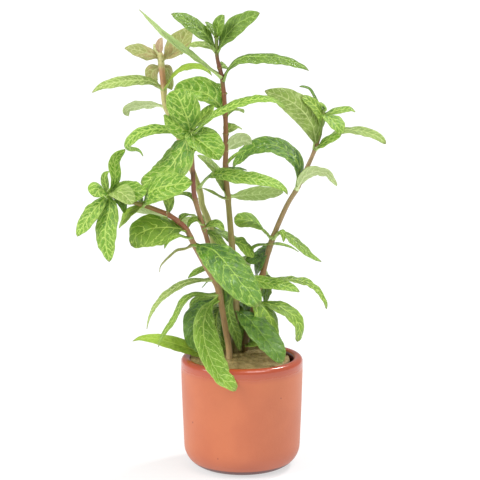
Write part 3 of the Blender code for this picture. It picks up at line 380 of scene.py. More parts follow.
# How each kind of leaf looks. tip and base are how pointed the blade ends and begins. cell and
# deep are its lighter and darker green, vein is its veins' colour and back its underside's, as
# (red, green, blue) from 0 to 255. room is how far apart its side veins are, net and veins are
# how strongly the fine net and the side veins show, fleck is how much of it is browned, and
# rough is how dull its skin is. PLAIN holds what a kind has where it says nothing else.
PLAIN = dict(base=0.95, veins=1.0, fleck=0.0)
KINDS = {
    "net": dict(tip=0.68, base=0.8, cell=(116, 168, 38), deep=(92, 144, 32), vein=(198, 228, 110),
                back=(186, 208, 132), room=1.2, net=0.72, rough=0.3),
    "bright": dict(tip=0.55, base=0.6, cell=(118, 170, 36), deep=(92, 146, 32), vein=(208, 232, 122),
                   back=(190, 212, 134), room=1.2, net=0.72, rough=0.3),
    "deep": dict(tip=0.5, base=0.6, cell=(100, 150, 40), deep=(64, 114, 30), vein=(180, 216, 96),
                 back=(160, 186, 110), room=1.5, net=0.42, rough=0.24),
    "loops": dict(tip=0.42, base=1.1, cell=(136, 184, 50), deep=(112, 158, 42), vein=(208, 236, 122),
                  back=(176, 204, 120), room=1.35, net=0.4, fleck=0.35, rough=0.34),
    "leafy": dict(tip=0.5, cell=(128, 170, 48), deep=(106, 148, 40), vein=(204, 232, 108), room=1.3,
                  back=(176, 200, 120), net=0.2, rough=0.34),
    "top": dict(tip=0.72, cell=(110, 148, 42), deep=(92, 126, 36), vein=(164, 198, 92), room=1.4,
                back=(166, 194, 118), net=0.22, veins=0.85, rough=0.3),
    "mid": dict(tip=0.8, base=0.8, cell=(120, 160, 44), deep=(96, 132, 38), vein=(182, 214, 100), room=1.2,
                back=(188, 208, 134), net=0.45, veins=0.85, rough=0.32),
    "dark": dict(tip=0.55, base=0.65, cell=(90, 134, 38), deep=(64, 104, 36), vein=(140, 178, 72), room=1.4,
                 back=(150, 174, 104), net=0.3, veins=0.75, fleck=0.1, rough=0.2),
    "lime": dict(tip=0.95, cell=(164, 200, 62), deep=(144, 180, 54), vein=(194, 222, 92), room=1.2,
                 back=(184, 208, 120), net=0.2, veins=0.5, rough=0.36),
    "silver": dict(tip=0.55, base=0.7, cell=(156, 188, 86), deep=(132, 164, 70), vein=(210, 228, 142),
                   back=(208, 224, 162), room=1.2, net=0.2, veins=0.85, rough=0.34),
    "pale": dict(tip=0.8, base=0.7, cell=(154, 184, 82), deep=(132, 160, 66), vein=(212, 230, 146),
                 back=(206, 222, 162), room=1.2, net=0.4, veins=0.85, rough=0.34),
    "spear": dict(tip=1.0, cell=(180, 210, 124), deep=(162, 192, 106), vein=(206, 224, 148), room=1.3,
                  back=(198, 218, 148), net=0.1, veins=0.3, rough=0.4),
    "olive": dict(tip=0.85, cell=(158, 168, 84), deep=(174, 158, 98), vein=(196, 202, 132), room=1.1,
                  back=(196, 200, 140), net=0.4, veins=0.9, fleck=0.1, rough=0.38),
    "pink": dict(tip=0.75, cell=(198, 168, 134), deep=(192, 148, 122), vein=(218, 202, 156), room=1.1,
                 back=(206, 174, 142), net=0.2, veins=0.5, rough=0.4),
}

# Each stem's colours from the plug up: (height in millimetres, colour).
STEM_COLOURS = {
    "stem_a": [(60, (134, 132, 66)), (105, (172, 176, 104)), (140, (182, 184, 114)),
               (150, (196, 168, 120)), (176, (204, 196, 132)), (186, (206, 196, 130)),
               (190, (190, 136, 98)), (196, (196, 146, 104)), (199, (218, 214, 150))],
    "stem_b": [(60, (122, 116, 56)), (100, (166, 142, 92)), (128, (150, 146, 66)),
               (145, (146, 104, 70)), (170, (150, 92, 58)), (178, (132, 74, 46)),
               (188, (130, 70, 44)), (190.5, (120, 96, 48)), (192, (104, 44, 34)),
               (200, (112, 50, 38)), (203, (112, 70, 42)), (205.5, (112, 140, 56))],
    "stem_c": [(60, (112, 92, 52)), (100, (150, 104, 64)), (112, (160, 112, 76)),
               (132, (176, 134, 92)), (134, (160, 120, 76)), (137, (156, 84, 74)),
               (144, (146, 72, 62)), (148, (96, 56, 44)), (150, (170, 110, 88)),
               (155, (190, 146, 118)), (159, (168, 172, 128))],
    "stem_d": [(57, (204, 176, 128)), (62, (182, 148, 98)), (68, (146, 112, 60)), (84, (150, 116, 62)),
               (100, (172, 136, 94)), (118, (164, 126, 84)), (123, (158, 84, 68)), (130, (156, 92, 56)),
               (135, (140, 140, 66))],
    "stem_e": [(60, (116, 92, 50)), (96, (146, 106, 58)), (112, (150, 128, 82)),
               (118, (170, 140, 98)), (140, (172, 150, 104)), (150, (188, 156, 116)),
               (157, (186, 150, 112)), (160, (150, 118, 70)), (164, (136, 164, 78))],
}
RING_COLOUR = (176, 180, 84)


def look_of(kind):
    """All that is said of a kind of leaf."""
    return {**PLAIN, **KINDS[kind]}


def real(point):
    """The true place, in millimetres, of a point given as it looks in the front view."""
    x, y, z = point
    spread = (y - EYE[1]) / -EYE[1]
    return np.array((EYE[0] + (x - EYE[0]) * spread, y, EYE[2] + (z - EYE[2]) * spread))


def smooth(points, count):
    """Points spaced evenly along a smooth curve through the given ones, and its length."""
    p = np.array(points, float)
    ends = np.vstack((2 * p[0] - p[1], p, 2 * p[-1] - p[-2]))
    dense = []
    for a, b, c, d in zip(ends, ends[1:], ends[2:], ends[3:]):
        for t in np.linspace(0, 1, 24, endpoint=False):
            bend = (2 * a - 5 * b + 4 * c - d) * t * t + (3 * b - a - 3 * c + d) * t ** 3
            dense.append(b + 0.5 * ((c - a) * t + bend))
    dense.append(p[-1])
    dense = np.array(dense)
    run = np.append(0, np.cumsum(np.linalg.norm(np.diff(dense, axis=0), axis=1)))
    even = np.linspace(0, run[-1], count)
    return np.stack([np.interp(even, run, dense[:, i]) for i in range(3)], axis=1), run[-1]


def unit(v):
    """Vectors made one long."""
    return v / np.linalg.norm(v, axis=-1, keepdims=True)


def depth_of_stem(name, point):
    """How far back a stem stands at the height of a point in the front view."""
    heights = [z for x, y, z in STEMS[name][2]]
    depths = [y for x, y, z in STEMS[name][2]]
    return float(np.interp(point[2], heights, depths))


def stem_line(name):
    """A stem's centre line as closely spaced points: upright in the plug, then its own course."""
    points = [real(p) for p in STEMS[name][2]]
    x, y = points[0][:2]
    points = [np.array((x, y, STEM_RISE)), np.array((x, y, STEM_FOOT))] + points
    length = smooth(points, 2)[1]
    return smooth(points, round(length / STEM_STEP))


def leaf_line(name, line, leaf):
    """A leaf's midrib as closely spaced points, rooted on its stem's centre line."""
    points = leaf[5:]
    depth = depth_of_stem(name, points[0])
    path = [real((x, depth + y, z)) for x, y, z in points]
    root = np.argmin(np.linalg.norm(line - path[0], axis=1))
    path[0] = line[root]
    length = smooth(path, 2)[1]
    path, _ = smooth(path, max(24, round(length / BLADE_STEP)))
    return path, length, root


def carried(path, start, at):
    """Directions square to a path, carried along it without twist from one of its points."""
    along = unit(np.gradient(path, axis=0))
    sides = np.zeros_like(path)
    sides[at] = unit(np.cross(along[at], start))
    for i in list(range(at + 1, len(path))) + list(range(at - 1, -1, -1)):
        before = sides[i - 1] if i > at else sides[i + 1]
        sides[i] = unit(before - along[i] * np.dot(before, along[i]))
    return sides, unit(np.cross(sides, along))


class Sheet:
    """Gathers many grids of points into one mesh, with values kept at every point."""

    def __init__(self):
        self.places = []
        self.faces = []
        self.skins = []
        self.values = {}
        self.count = 0

    def add(self, places, skin, closed=False, **values):
        """Adds a grid of (rows, columns) points; closed joins its last column to its first."""
        rows, columns = places.shape[:2]
        order = np.arange(rows * columns).reshape(rows, columns) + self.count
        if closed:
            order = np.hstack((order, order[:, :1]))
        corners = (order[:-1, :-1], order[:-1, 1:], order[1:, 1:], order[1:, :-1])
        faces = np.stack(corners, axis=-1).reshape(-1, 4)
        self.places.append(places.reshape(-1, 3))
        self.faces.append(faces)
        self.skins += [skin] * len(faces)
        for key, value in values.items():
            self.values.setdefault(key, []).append(value.reshape(rows * columns, -1))
        self.count += rows * columns

    def build(self, name, materials):
        """The mesh object of all the grids."""
        mesh = bpy.data.meshes.new(name)
        places = np.concatenate(self.places) * MM
        mesh.from_pydata(places.tolist(), [], np.concatenate(self.faces).tolist())
        for material in materials:
            mesh.materials.append(material)
        mesh.polygons.foreach_set("material_index", self.skins)
        for key, parts in self.values.items():
            value = np.concatenate(parts)
            kind = "FLOAT_VECTOR" if value.shape[1] == 3 else "FLOAT"
            layer = mesh.attributes.new(key, kind, "POINT")
            layer.data.foreach_set("vector" if kind == "FLOAT_VECTOR" else "value", value.ravel())
        mesh.shade_smooth()
        shape = bpy.data.objects.new(name, mesh)
        bpy.context.scene.collection.objects.link(shape)
        return shape


def blade_half(share, width, tip, base):
    """Half the width at each share of a leaf's length: a narrow stalk, then the blade."""
    s = np.clip((share - STALK) / (1 - STALK), 0, 1)
    rise = 1 - (1 - np.clip(s / WIDEST, 0, 1)) ** 2
    fall = 1 - (1 - np.clip((1 - s) / (1 - WIDEST), 0, 1)) ** 2
    blade = 0.5 * width * np.where(s < WIDEST, rise ** base, fall ** tip)
    stalk = STALK_HALF * np.clip(1 - share * 3, 0, 1) ** 0.7
    return np.maximum(np.maximum(blade, stalk), 0.12)


def leaf_columns(width):
    """Places across a leaf from -1 to 1, closer together at the midrib and at the margins."""
    half = max(4, round(width / 2.2))
    out = np.linspace(0, 1, half + 1) ** 1.15
    out = np.append(out[:-1], (0.965, 1.0))
    return np.concatenate((-out[:0:-1], out))


def side_veins(side, half, along, spacing):
    """Counts a leaf's side veins: the value is whole on a vein. They lean towards the tip."""
    reach = np.abs(side)
    rise = half * (0.62 * reach + 0.85 * reach ** 3)
    return (along - rise) / spacing + 0.22 * np.clip(side * 6, -1, 1)


def crumple(across, along, rng):
    """Soft wrinkles a few millimetres wide, about one high."""
    total = 0
    for size in (7.0, 4.5, 3.0, 2.2):
        for _ in range(3):
            turn, start = rng.uniform(0, 2 * math.pi, 2)
            at = across * math.cos(turn) + along * math.sin(turn)
            total = total + 0.18 * size * np.sin(2 * math.pi * at / size + start)
    return total


def leaf_form(leaf, path, length, seed):
    """One leaf: a folded, waved and quilted blade on a short stalk, drawn out to its tip."""
    kind, width, fold, twist, face = leaf[:5]
    look = look_of(kind)
    rng = np.random.default_rng(seed)
    share = np.linspace(0, 1, len(path))[:, None]
    flat_sides, flat_ups = carried(path, np.array(face, float), len(path) // 2)
    turn = np.radians(twist) * (share - 0.5)
    sides = flat_sides * np.cos(turn) + flat_ups * np.sin(turn)
    ups = flat_ups * np.cos(turn) - flat_sides * np.sin(turn)
    half = blade_half(share, width, look["tip"], look["base"])
    side = leaf_columns(width)[None, :]
    along = share * length
    ripple = rng.uniform(0, 2 * math.pi, 6)
    wave = rng.uniform(7.5, 11)
    edge = 0.01 * np.sin(2 * math.pi * along / (wave * 0.6) + ripple[0] + np.sign(side) * ripple[1])
    edge += 0.003 * np.sin(2 * math.pi * along / 1.9 + ripple[2] - np.sign(side))
    across = side * half * (1 + edge * np.abs(side) ** 2)
    spacing = look["room"] * (1.3 + 0.14 * width)
    veins = side_veins(side, half, along, spacing)
    broad = np.clip(half / 3.0, 0, 1.6)
    reach = np.abs(side)
    keel = reach - 0.35 * reach ** 2 if fold > 0 else 0.4 * reach + 0.6 * reach ** 2
    lift = fold * half * keel
    phase = 2 * math.pi * along / wave + ripple[3] + np.where(side < 0, ripple[4], 0)
    lift += 0.035 * broad * reach ** 2.5 * np.sin(phase) * np.minimum(half, 4)
    quilt = 0.5 - 0.5 * np.cos(2 * math.pi * veins)
    lift += 0.2 * broad * quilt ** 0.6 * np.sin(math.pi * reach ** 0.8)
    lift += 0.05 * broad * crumple(across, along, rng)
    groove = np.exp(-(across / 0.55) ** 2)
    lift -= 0.3 * groove * np.clip(1.3 - share, 0, 1)
    stalk = np.clip(1 - share / (STALK * 2.2), 0, 1)
    lift += stalk * 0.9 * (reach ** 2)
    places = path[:, None] + sides[:, None] * across[..., None] + ups[:, None] * lift[..., None]
    midrib = np.exp(-(across / 0.5) ** 2) * (1 - share) ** 0.8
    ridge = 0.18 * np.exp(-((np.abs(veins - np.round(veins)) * spacing) / 0.3) ** 2) * (1 - reach)
    thick = BLADE_THICKNESS * np.clip(1.2 - 0.5 * reach, 0.5, 1) + ridge * (half > 2)
    thick = thick + (MIDRIB_THICKNESS - BLADE_THICKNESS) * np.maximum(midrib * 0.55, stalk)
    full = np.ones_like(across)
    kept = {
        "leaf_place": np.stack((across, along * full, seed % 97 * full), axis=-1),
        "leaf_veins": np.stack((veins, side * full, share * full), axis=-1),
        "leaf_size": np.stack((spacing * full, half * full, full), axis=-1),
        "thickness": np.clip(thick / MIDRIB_THICKNESS, 0.05, 1),
    }
    return places, kept


def make_leaves(name, skins, backs):
    """All the leaves of one stem as one piece, thickened, with their undersides' own skins."""
    line, _ = stem_line(name)
    sheet = Sheet()
    kinds = list(KINDS)
    for i, leaf in enumerate(LEAVES[name]):
        path, length, _ = leaf_line(name, line, leaf)
        seed = 100 * (1 + list(STEMS).index(name)) + i
        places, kept = leaf_form(leaf, path, length, seed)
        sheet.add(places, kinds.index(leaf[0]), **kept)
    thickness = np.concatenate(sheet.values.pop("thickness")).ravel()
    leaves = sheet.build(name + "_leaves", [skins[k] for k in kinds] + [backs[k] for k in kinds])
    group = leaves.vertex_groups.new(name="thickness")
    for level in range(1, THICKNESS_LEVELS + 1):
        chosen = np.flatnonzero(np.ceil(thickness * THICKNESS_LEVELS) == level)
        group.add(chosen.tolist(), level / THICKNESS_LEVELS, "REPLACE")
    solid = leaves.modifiers.new("blade", "SOLIDIFY")
    solid.thickness = MIDRIB_THICKNESS * MM
    solid.offset = -1.0
    solid.vertex_group = group.name
    solid.material_offset = len(kinds)
    return leaves


def make_stem(name, skin):
    """A stem with a swelling and a ring at each of its nodes, closed by a small bud."""
    line, length = stem_line(name)
    share = np.linspace(0, 1, len(line))
    run = share * length
    foot, tip, _ = STEMS[name]
    radius = foot + (tip - foot) * share ** 1.5
    ring = np.zeros(len(line))
    for leaf in LEAVES[name]:
        root = leaf_line(name, line, leaf)[2]
        ring = np.maximum(ring, np.exp(-((run - run[root]) / NODE_LENGTH) ** 2))
    radius = radius * (1 + NODE_SWELL * ring)
    bud = np.clip((length - run) / 3.0, 0, 1)
    radius = np.maximum(radius * np.sqrt(1 - (1 - bud) ** 2), 0.02)
    sides, ups = carried(line, np.array((0.0, -1.0, 0.1)), 0)
    turn = np.linspace(0, 2 * math.pi, STEM_SIDES, endpoint=False)
    ribs = 1 + 0.035 * np.cos(4 * turn)
    reach = radius[:, None] * ribs[None, :]
    places = line[:, None] + sides[:, None] * (reach * np.cos(turn))[..., None]
    places = places + ups[:, None] * (reach * np.sin(turn))[..., None]
    sheet = Sheet()
    full = np.ones_like(reach)
    stalk = np.stack((turn * full, run[:, None] * full, ring[:, None] * full), axis=-1)
    sheet.add(places[:, ::-1], 0, closed=True, stalk=stalk[:, ::-1])
    return sheet.build(name + "_stalk", [skin])


def arc(centre, radius, start, end, count):
    """Points along an arc in the half plane of a turned profile, angles in degrees."""
    angles = np.radians(np.linspace(start, end, count))
    return [(centre[0] + radius * math.cos(a), centre[1] + radius * math.sin(a)) for a in angles]


def turned(profile, steps):
    """A profile of (radius, height) points turned around the upright axis, as a grid."""
    turn = np.linspace(0, 2 * math.pi, steps, endpoint=False)
    radius = np.array([r for r, z in profile])[:, None]
    height = np.array([z for r, z in profile])[:, None] * np.ones_like(turn)
    return np.stack((radius * np.cos(turn), radius * np.sin(turn), height), axis=-1), turn


def make_pot(skin):
    """The clay pot, a little uneven as thrown: cavity, rounded lip, wall and rounded foot."""
    inner = LIP_RADIUS - WALL
    corner = (inner - 0.8 - CAVITY_ROUND, FLOOR + CAVITY_ROUND)
    lip = (LIP_RADIUS - LIP_ROUND, POT_HEIGHT - LIP_ROUND)
    foot = (FOOT_RADIUS - FOOT_ROUND, FOOT_ROUND)
    outer = [(LIP_RADIUS, POT_HEIGHT - LIP_ROUND), (BELLY_RADIUS, BELLY_HEIGHT),
             (WAIST_RADIUS, WAIST_HEIGHT), (FOOT_RADIUS, FOOT_ROUND)]
    heights = np.linspace(outer[0][1], outer[-1][1], 26)[1:-1]
    wall = np.interp(heights, [z for r, z in outer][::-1], [r for r, z in outer][::-1])
    profile = [(0.01, FLOOR), (9, FLOOR)]
    profile += arc(corner, CAVITY_ROUND, -90, 0, 8)
    profile += [(inner - 0.4, 20), (inner - 0.2, 32), (inner - 0.1, BELLY_HEIGHT), (inner, 48)]
    profile += arc(lip, LIP_ROUND, 180, 0, 25)
    profile += list(zip(wall, heights))
    profile += arc(foot, FOOT_ROUND, 0, -90, 22)
    profile += [(9, 0), (0.01, 0)]
    places, turn = turned(profile, POT_STEPS)
    height = places[..., 2]
    uneven = 0.10 * np.sin(2 * turn + 0.6) + 0.05 * np.sin(5 * turn + height * 0.11)
    grow = 1 + uneven * np.clip(height / POT_HEIGHT, 0, 1) / LIP_RADIUS
    places[..., :2] *= grow[..., None]
    sheet = Sheet()
    sheet.add(places[:, ::-1], 0, closed=True)
    return sheet.build("pot_body", [skin])


def plug_edge(angle):
    """The plug's radius at its top: it meets the lip in front and at the left, not behind."""
    front = 0.5 - 0.5 * np.sin(angle + 1.0)
    ripple = 0.35 * np.sin(5 * angle + 1) + 0.25 * np.sin(9 * angle)
    return PLUG_RADIUS - 1.2 + PLUG_FULL * np.sqrt(front) + ripple * (1 - front * 0.8)


def wool_noise(x, y):
    """Small torn humps in the wool: sines of many directions, summed."""
    rng = np.random.default_rng(7)
    total = np.zeros(np.broadcast(x, y).shape)
    for size in (9.0, 6.0, 4.0, 2.6, 1.7, 1.1):
        for _ in range(4):
            a, p = rng.uniform(0, 2 * math.pi, 2)
            wave = np.sin(2 * math.pi * (x * math.cos(a) + y * math.sin(a)) / size + p)
            total += size * 0.015 * np.sign(wave) * np.abs(wave) ** 0.7
    return total


def plug_height(x, y):
    """The height of the plug's top: a low dome with torn humps."""
    dome = PLUG_CROWN * np.cos(np.clip(np.hypot(x, y) / 22, 0, 1) * math.pi / 2)
    return PLUG_TOP + dome + wool_noise(x, y)


def make_plug(skin):
    """The plug's torn top and the upper part of its side, which is all that shows of it."""
    rings = np.concatenate((np.linspace(0.004, 0.96, PLUG_RINGS), (0.985, 1.0, 1.0, 1.0, 1.0)))
    drop = np.concatenate((np.zeros(PLUG_RINGS), (0.25, 0.9, 2.2, 5.0, PLUG_SHOW)))
    turn = np.linspace(0, 2 * math.pi, PLUG_STEPS, endpoint=False)
    reach = rings[:, None] * plug_edge(turn)[None, :]
    x = reach * np.cos(turn)
    y = reach * np.sin(turn)
    torn = wool_noise(turn * 9, drop[:, None] * np.ones_like(turn)) * np.clip(drop, 0, 1)[:, None]
    z = plug_height(x, y) - drop[:, None]
    sink = 1 + torn * 0.5 / PLUG_RADIUS
    sheet = Sheet()
    sheet.add(np.stack((x * sink, y * sink, z), axis=-1), 0, closed=True)
    return sheet.build("plug_wool", [skin])


def make_fibres(skin):
    """Loose fibres of the wool, each a fine bent thread with its ends in the plug."""
    rng = np.random.default_rng(11)
    sheet = Sheet()
    turn = np.linspace(0, 2 * math.pi, 3, endpoint=False)
    for _ in range(FIBRES):
        r = PLUG_RADIUS * 0.97 * math.sqrt(rng.uniform(0, 1))
        a, b = rng.uniform(0, 2 * math.pi, 2)
        size = rng.uniform(1.2, 4.5)
        t = np.linspace(-0.5, 0.5, 7)
        x = r * math.cos(a) + size * t * math.cos(b) + rng.uniform(-0.4, 0.4) * np.sin(t * 6)
        y = r * math.sin(a) + size * t * math.sin(b) + rng.uniform(-0.4, 0.4) * np.cos(t * 5)
        keep = np.minimum(1, 0.985 * plug_edge(np.arctan2(y, x)) / np.hypot(x, y))
        x, y = x * keep, y * keep
        z = plug_height(x, y) + rng.uniform(0.05, 0.5) * (1 - (2 * t) ** 2) - 0.05
        thin = rng.uniform(0.04, 0.09) * np.ones(7)
        line = np.stack((x, y, z), axis=-1)
        sides, ups = carried(line, np.array((0.01, 0.02, 1.0)), 3)
        ring = sides[:, None] * np.cos(turn)[None, :, None] + ups[:, None] * np.sin(turn)[None, :, None]
        sheet.add(line[:, None] + ring * thin[:, None, None], 0, closed=True)
    return sheet.build("plug_fibres", [skin])


def rgb(colour, strength=1.0):
    """A colour given from 0 to 255 as the eye sees it, as a shader's linear one."""
    linear = [((c / 255 + 0.055) / 1.055) ** 2.4 if c > 10 else c / 255 / 12.92 for c in colour]
    return (*(c * strength for c in linear), 1.0)


class Skin:
    """A material, with short ways to add nodes to it."""

    def __init__(self, name):
        self.material = bpy.data.materials.new(name)
        self.material.use_nodes = True
        self.tree = self.material.node_tree
        self.shader = self.tree.nodes["Principled BSDF"]

    def node(self, kind, inputs=None, **settings):
        """A new node, with its settings made and its inputs filled or linked."""
        made = self.tree.nodes.new("ShaderNode" + kind)
        for key, value in settings.items():
            setattr(made, key, value)
        for key, value in (inputs or {}).items():
            self.fill(made.inputs[key], value)
        return made

    def fill(self, socket, value):
        """Links a socket, or sets its own value."""
        if isinstance(value, bpy.types.NodeSocket):
            self.tree.links.new(value, socket)
        else:
            socket.default_value = value

    def math(self, operation, a, b=0.0, c=0.0):
        """One sum."""
        return self.node("Math", {0: a, 1: b, 2: c}, operation=operation).outputs[0]

    def band(self, value, near, far):
        """1 where value is under near, 0 where it is over far, and smooth between."""
        inputs = {"Value": value, "From Min": near, "From Max": far, "To Min": 1.0, "To Max": 0.0}
        return self.node("MapRange", inputs, interpolation_type="SMOOTHSTEP").outputs["Result"]

    def mix(self, share, a, b, blend="MIX"):
        """Colour a with a share of colour b."""
        inputs = {0: share, 6: a, 7: b}
        return self.node("Mix", inputs, data_type="RGBA", blend_type=blend).outputs[2]

    def split(self, vector):
        """The three numbers of a vector."""
        return self.node("SeparateXYZ", {0: vector}).outputs

    def join(self, x, y, z=0.0):
        """A vector of three numbers."""
        return self.node("CombineXYZ", {0: x, 1: y, 2: z}).outputs[0]

    def kept(self, name):
        """The three numbers kept at the mesh's points under a name."""
        return self.split(self.node("Attribute", attribute_name=name).outputs["Vector"])

    def noise(self, vector, scale, detail=2.0, rough=0.5):
        """Soft noise from 0 to 1; scale is in cells a unit of the vector."""
        inputs = {"Vector": vector, "Scale": scale, "Detail": detail, "Roughness": rough}
        return self.node("TexNoise", inputs).outputs["Fac"]

    def place(self):
        """The place on the object in millimetres."""
        where = self.node("TexCoord").outputs["Object"]
        return self.node("VectorMath", {0: where, 3: 1 / MM}, operation="SCALE").outputs[0]

    def bump(self, height, depth):
        """Bumps depth millimetres high."""
        inputs = {"Height": height, "Distance": depth * MM, "Strength": 1.0}
        self.fill(self.shader.inputs["Normal"], self.node("Bump", inputs).outputs[0])

    def finish(self, colour, roughness, **fixed):
        """Sets the shader's colour, roughness and fixed values."""
        self.fill(self.shader.inputs["Base Color"], colour)
        self.fill(self.shader.inputs["Roughness"], roughness)
        for key, value in fixed.items():
            self.shader.inputs[key.replace("_", " ")].default_value = value
        return self.material


def vein_masks(skin):
    """Where a leaf's veins are: its midrib, side veins, loops near the margin and fine net."""
    across, along, seed = skin.kept("leaf_place")
    phase, side, share = skin.kept("leaf_veins")
    spacing, half, _ = skin.kept("leaf_size")
    where = skin.join(across, along, seed)
    off = skin.math("ABSOLUTE", across)
    reach = skin.math("ABSOLUTE", side)
    midrib_width = skin.math("MULTIPLY_ADD", share, -0.4, 0.58)
    midrib = skin.band(off, skin.math("MULTIPLY", midrib_width, 0.5), midrib_width)
    sway = skin.math("SUBTRACT", skin.noise(where, 0.45, 2.0), 0.5)
    phase = skin.math("MULTIPLY_ADD", sway, 0.7, phase)
    gap = skin.math("MULTIPLY", skin.math("PINGPONG", phase, 0.5), spacing)
    fade = skin.band(reach, 0.74, 0.92)
    vein_width = skin.math("MULTIPLY_ADD", reach, -0.16, 0.42)
    sides = skin.math("MULTIPLY", skin.band(gap, 0.12, vein_width), fade)
    around = skin.math("COSINE", skin.math("MULTIPLY", phase, 2 * math.pi))
    loop = skin.math("MULTIPLY_ADD", around, -0.09, 0.81)
    loops = skin.math("MULTIPLY", skin.math("ABSOLUTE", skin.math("SUBTRACT", reach, loop)), half)
    loops = skin.math("MULTIPLY", skin.band(loops, 0.08, 0.32), skin.band(half, 3.0, 2.0))
    lane = skin.math("MULTIPLY_ADD", skin.math("SIGN", side), 31.0, skin.math("FLOOR", phase))
    lane = skin.math("MULTIPLY_ADD", seed, 57.0, lane)
    start = skin.node("TexWhiteNoise", {"W": lane}, noise_dimensions="1D").outputs["Value"]
    rung_room = skin.math("MULTIPLY_ADD", spacing, 0.45, 0.9)
    slope = skin.math("MULTIPLY", skin.math("PINGPONG", phase, 0.5), 0.9)
    bend = skin.math("MULTIPLY_ADD", skin.noise(where, 0.6, 2.0), 1.3, slope)
    rung = skin.math("ADD", skin.math("ADD", skin.math("DIVIDE", off, rung_room), bend), start)
    rung = skin.math("MULTIPLY", skin.math("PINGPONG", rung, 0.5), rung_room)
    net = skin.math("MULTIPLY", skin.band(rung, 0.08, 0.28), skin.band(reach, 0.8, 0.95))
    cells = skin.math("MINIMUM", skin.math("MINIMUM", gap, rung), off)
    return dict(midrib=midrib, sides=sides, loops=loops, net=net, cells=cells,
                reach=reach, share=share, where=where)


def vein_share(skin, masks, look):
    """How much of the veins' colour shows at each point."""
    sides = skin.math("MAXIMUM", masks["sides"], skin.math("MULTIPLY", masks["loops"], 0.8))
    sides = skin.math("MULTIPLY", sides, look["veins"])
    net = skin.math("MULTIPLY", masks["net"], look["net"])
    shown = skin.math("MAXIMUM", sides, net)
    return skin.math("MAXIMUM", shown, skin.math("MULTIPLY", masks["midrib"], 0.95))


def leaf_skin(kind):
    """The upper side of a leaf: dark cells in a bright net, glossy in patches, browned tips, and painted
    shade towards its base.
    """
    look = look_of(kind)
    skin = Skin("leaf_" + kind)
    masks = vein_masks(skin)
    where = masks["where"]
    patch = skin.noise(where, 0.22, 3.0)
    patch = skin.math("MULTIPLY_ADD", masks["share"], -0.4, skin.math("ADD", patch, 0.18))
    cell = skin.mix(skin.band(patch, 0.66, 0.4), rgb(look["cell"]), rgb(look["deep"]))
    inner = skin.math("MULTIPLY", skin.band(masks["cells"], 0.2, 0.75), 0.34 * look["net"])
    cell = skin.mix(inner, cell, rgb(look["vein"]))
    colour = skin.mix(vein_share(skin, masks, look), cell, rgb(look["vein"]))
    # Painted shade: each leaf is darkened towards its base, where the leaves of a cluster shade one
    # another.
    painted_base_shade = skin.math("MULTIPLY", skin.band(masks["share"], 0.08, 0.36), 0.5)
    colour = skin.mix(painted_base_shade, colour, rgb(look["deep"], 0.7))
    margin = skin.math("MULTIPLY", skin.band(masks["reach"], 0.98, 0.9), 0.45)
    colour = skin.mix(margin, colour, rgb(look["vein"]))
    brown = skin.math("MULTIPLY", skin.band(masks["share"], 1.0, 0.94), 0.5)
    colour = skin.mix(brown, colour, rgb((112, 106, 60)))
    fleck = skin.band(skin.noise(where, 1.5, 2.0), 0.72, 0.66)
    colour = skin.mix(skin.math("MULTIPLY", fleck, look["fleck"]), colour, rgb((186, 140, 70)))
    grain = skin.noise(where, 3.2, 3.0)
    colour = skin.mix(0.25, colour, skin.mix(1.0, colour, skin.join(grain, grain, grain), "OVERLAY"))
    height = skin.math("MULTIPLY_ADD", skin.math("MINIMUM", masks["cells"], 0.6), 1.0, grain)
    skin.bump(height, 0.2)
    dull = skin.band(skin.noise(where, 0.16, 2.0), 0.6, 0.42)
    rough = skin.math("MULTIPLY_ADD", dull, 0.26, look["rough"] - 0.05)
    rough = skin.math("MULTIPLY_ADD", skin.noise(where, 1.2, 2.0), 0.12, skin.math("SUBTRACT", rough, 0.06))
    return skin.finish(colour, rough, Specular_IOR_Level=0.5)


def leaf_back(kind):
    """The underside of a leaf: pale, matter, with its veins standing out."""
    look = look_of(kind)
    skin = Skin("leaf_back_" + kind)
    masks = vein_masks(skin)
    where = masks["where"]
    patch = skin.noise(where, 0.3, 3.0)
    under = skin.mix(skin.math("MULTIPLY", patch, 0.5), rgb(look["back"]), rgb(look["cell"]))
    pale = tuple(min(255, c + 26) for c in look["back"])
    colour = skin.mix(vein_share(skin, masks, look), under, rgb(pale))
    height = skin.math("MULTIPLY_ADD", masks["sides"], 0.7, skin.noise(where, 3.2, 3.0))
    height = skin.math("MULTIPLY_ADD", masks["net"], 0.4, height)
    skin.bump(height, 0.14)
    rough = skin.math("MULTIPLY_ADD", patch, 0.15, 0.48)
    return skin.finish(colour, rough, Specular_IOR_Level=0.3)


def stem_skin(name):
    """A stem's rind: its colours by height, fine streaks along it and a pale ring at each node."""
    skin = Skin(name + "_rind")
    turn, run, ring = skin.kept("stalk")
    height = skin.split(skin.place())[2]
    stops = STEM_COLOURS[name]
    ramp = skin.node("ValToRGB", {0: skin.math("DIVIDE", height, RIND_TOP)})
    while len(ramp.color_ramp.elements) < len(stops):
        ramp.color_ramp.elements.new(1.0)
    for element, (level, colour) in zip(ramp.color_ramp.elements, stops):
        element.position = level / RIND_TOP
        element.color = rgb(colour)
    where = skin.join(skin.math("MULTIPLY", turn, 1.6), skin.math("MULTIPLY", run, 0.12), 0.0)
    streak = skin.noise(where, 2.2, 3.0, 0.6)
    colour = skin.mix(skin.math("MULTIPLY", streak, 0.22), ramp.outputs[0], rgb((196, 170, 120)))
    colour = skin.mix(skin.math("MULTIPLY", skin.band(streak, 0.35, 0.5), 0.4), colour, rgb((96, 70, 40)))
    ringed = skin.math("MULTIPLY", skin.band(ring, 0.99, 0.9), 0.3)
    colour = skin.mix(ringed, colour, rgb(RING_COLOUR))
    skin.bump(skin.math("MULTIPLY_ADD", ring, 0.5, streak), 0.12)
    return skin.finish(colour, skin.math("MULTIPLY_ADD", streak, 0.2, 0.36))


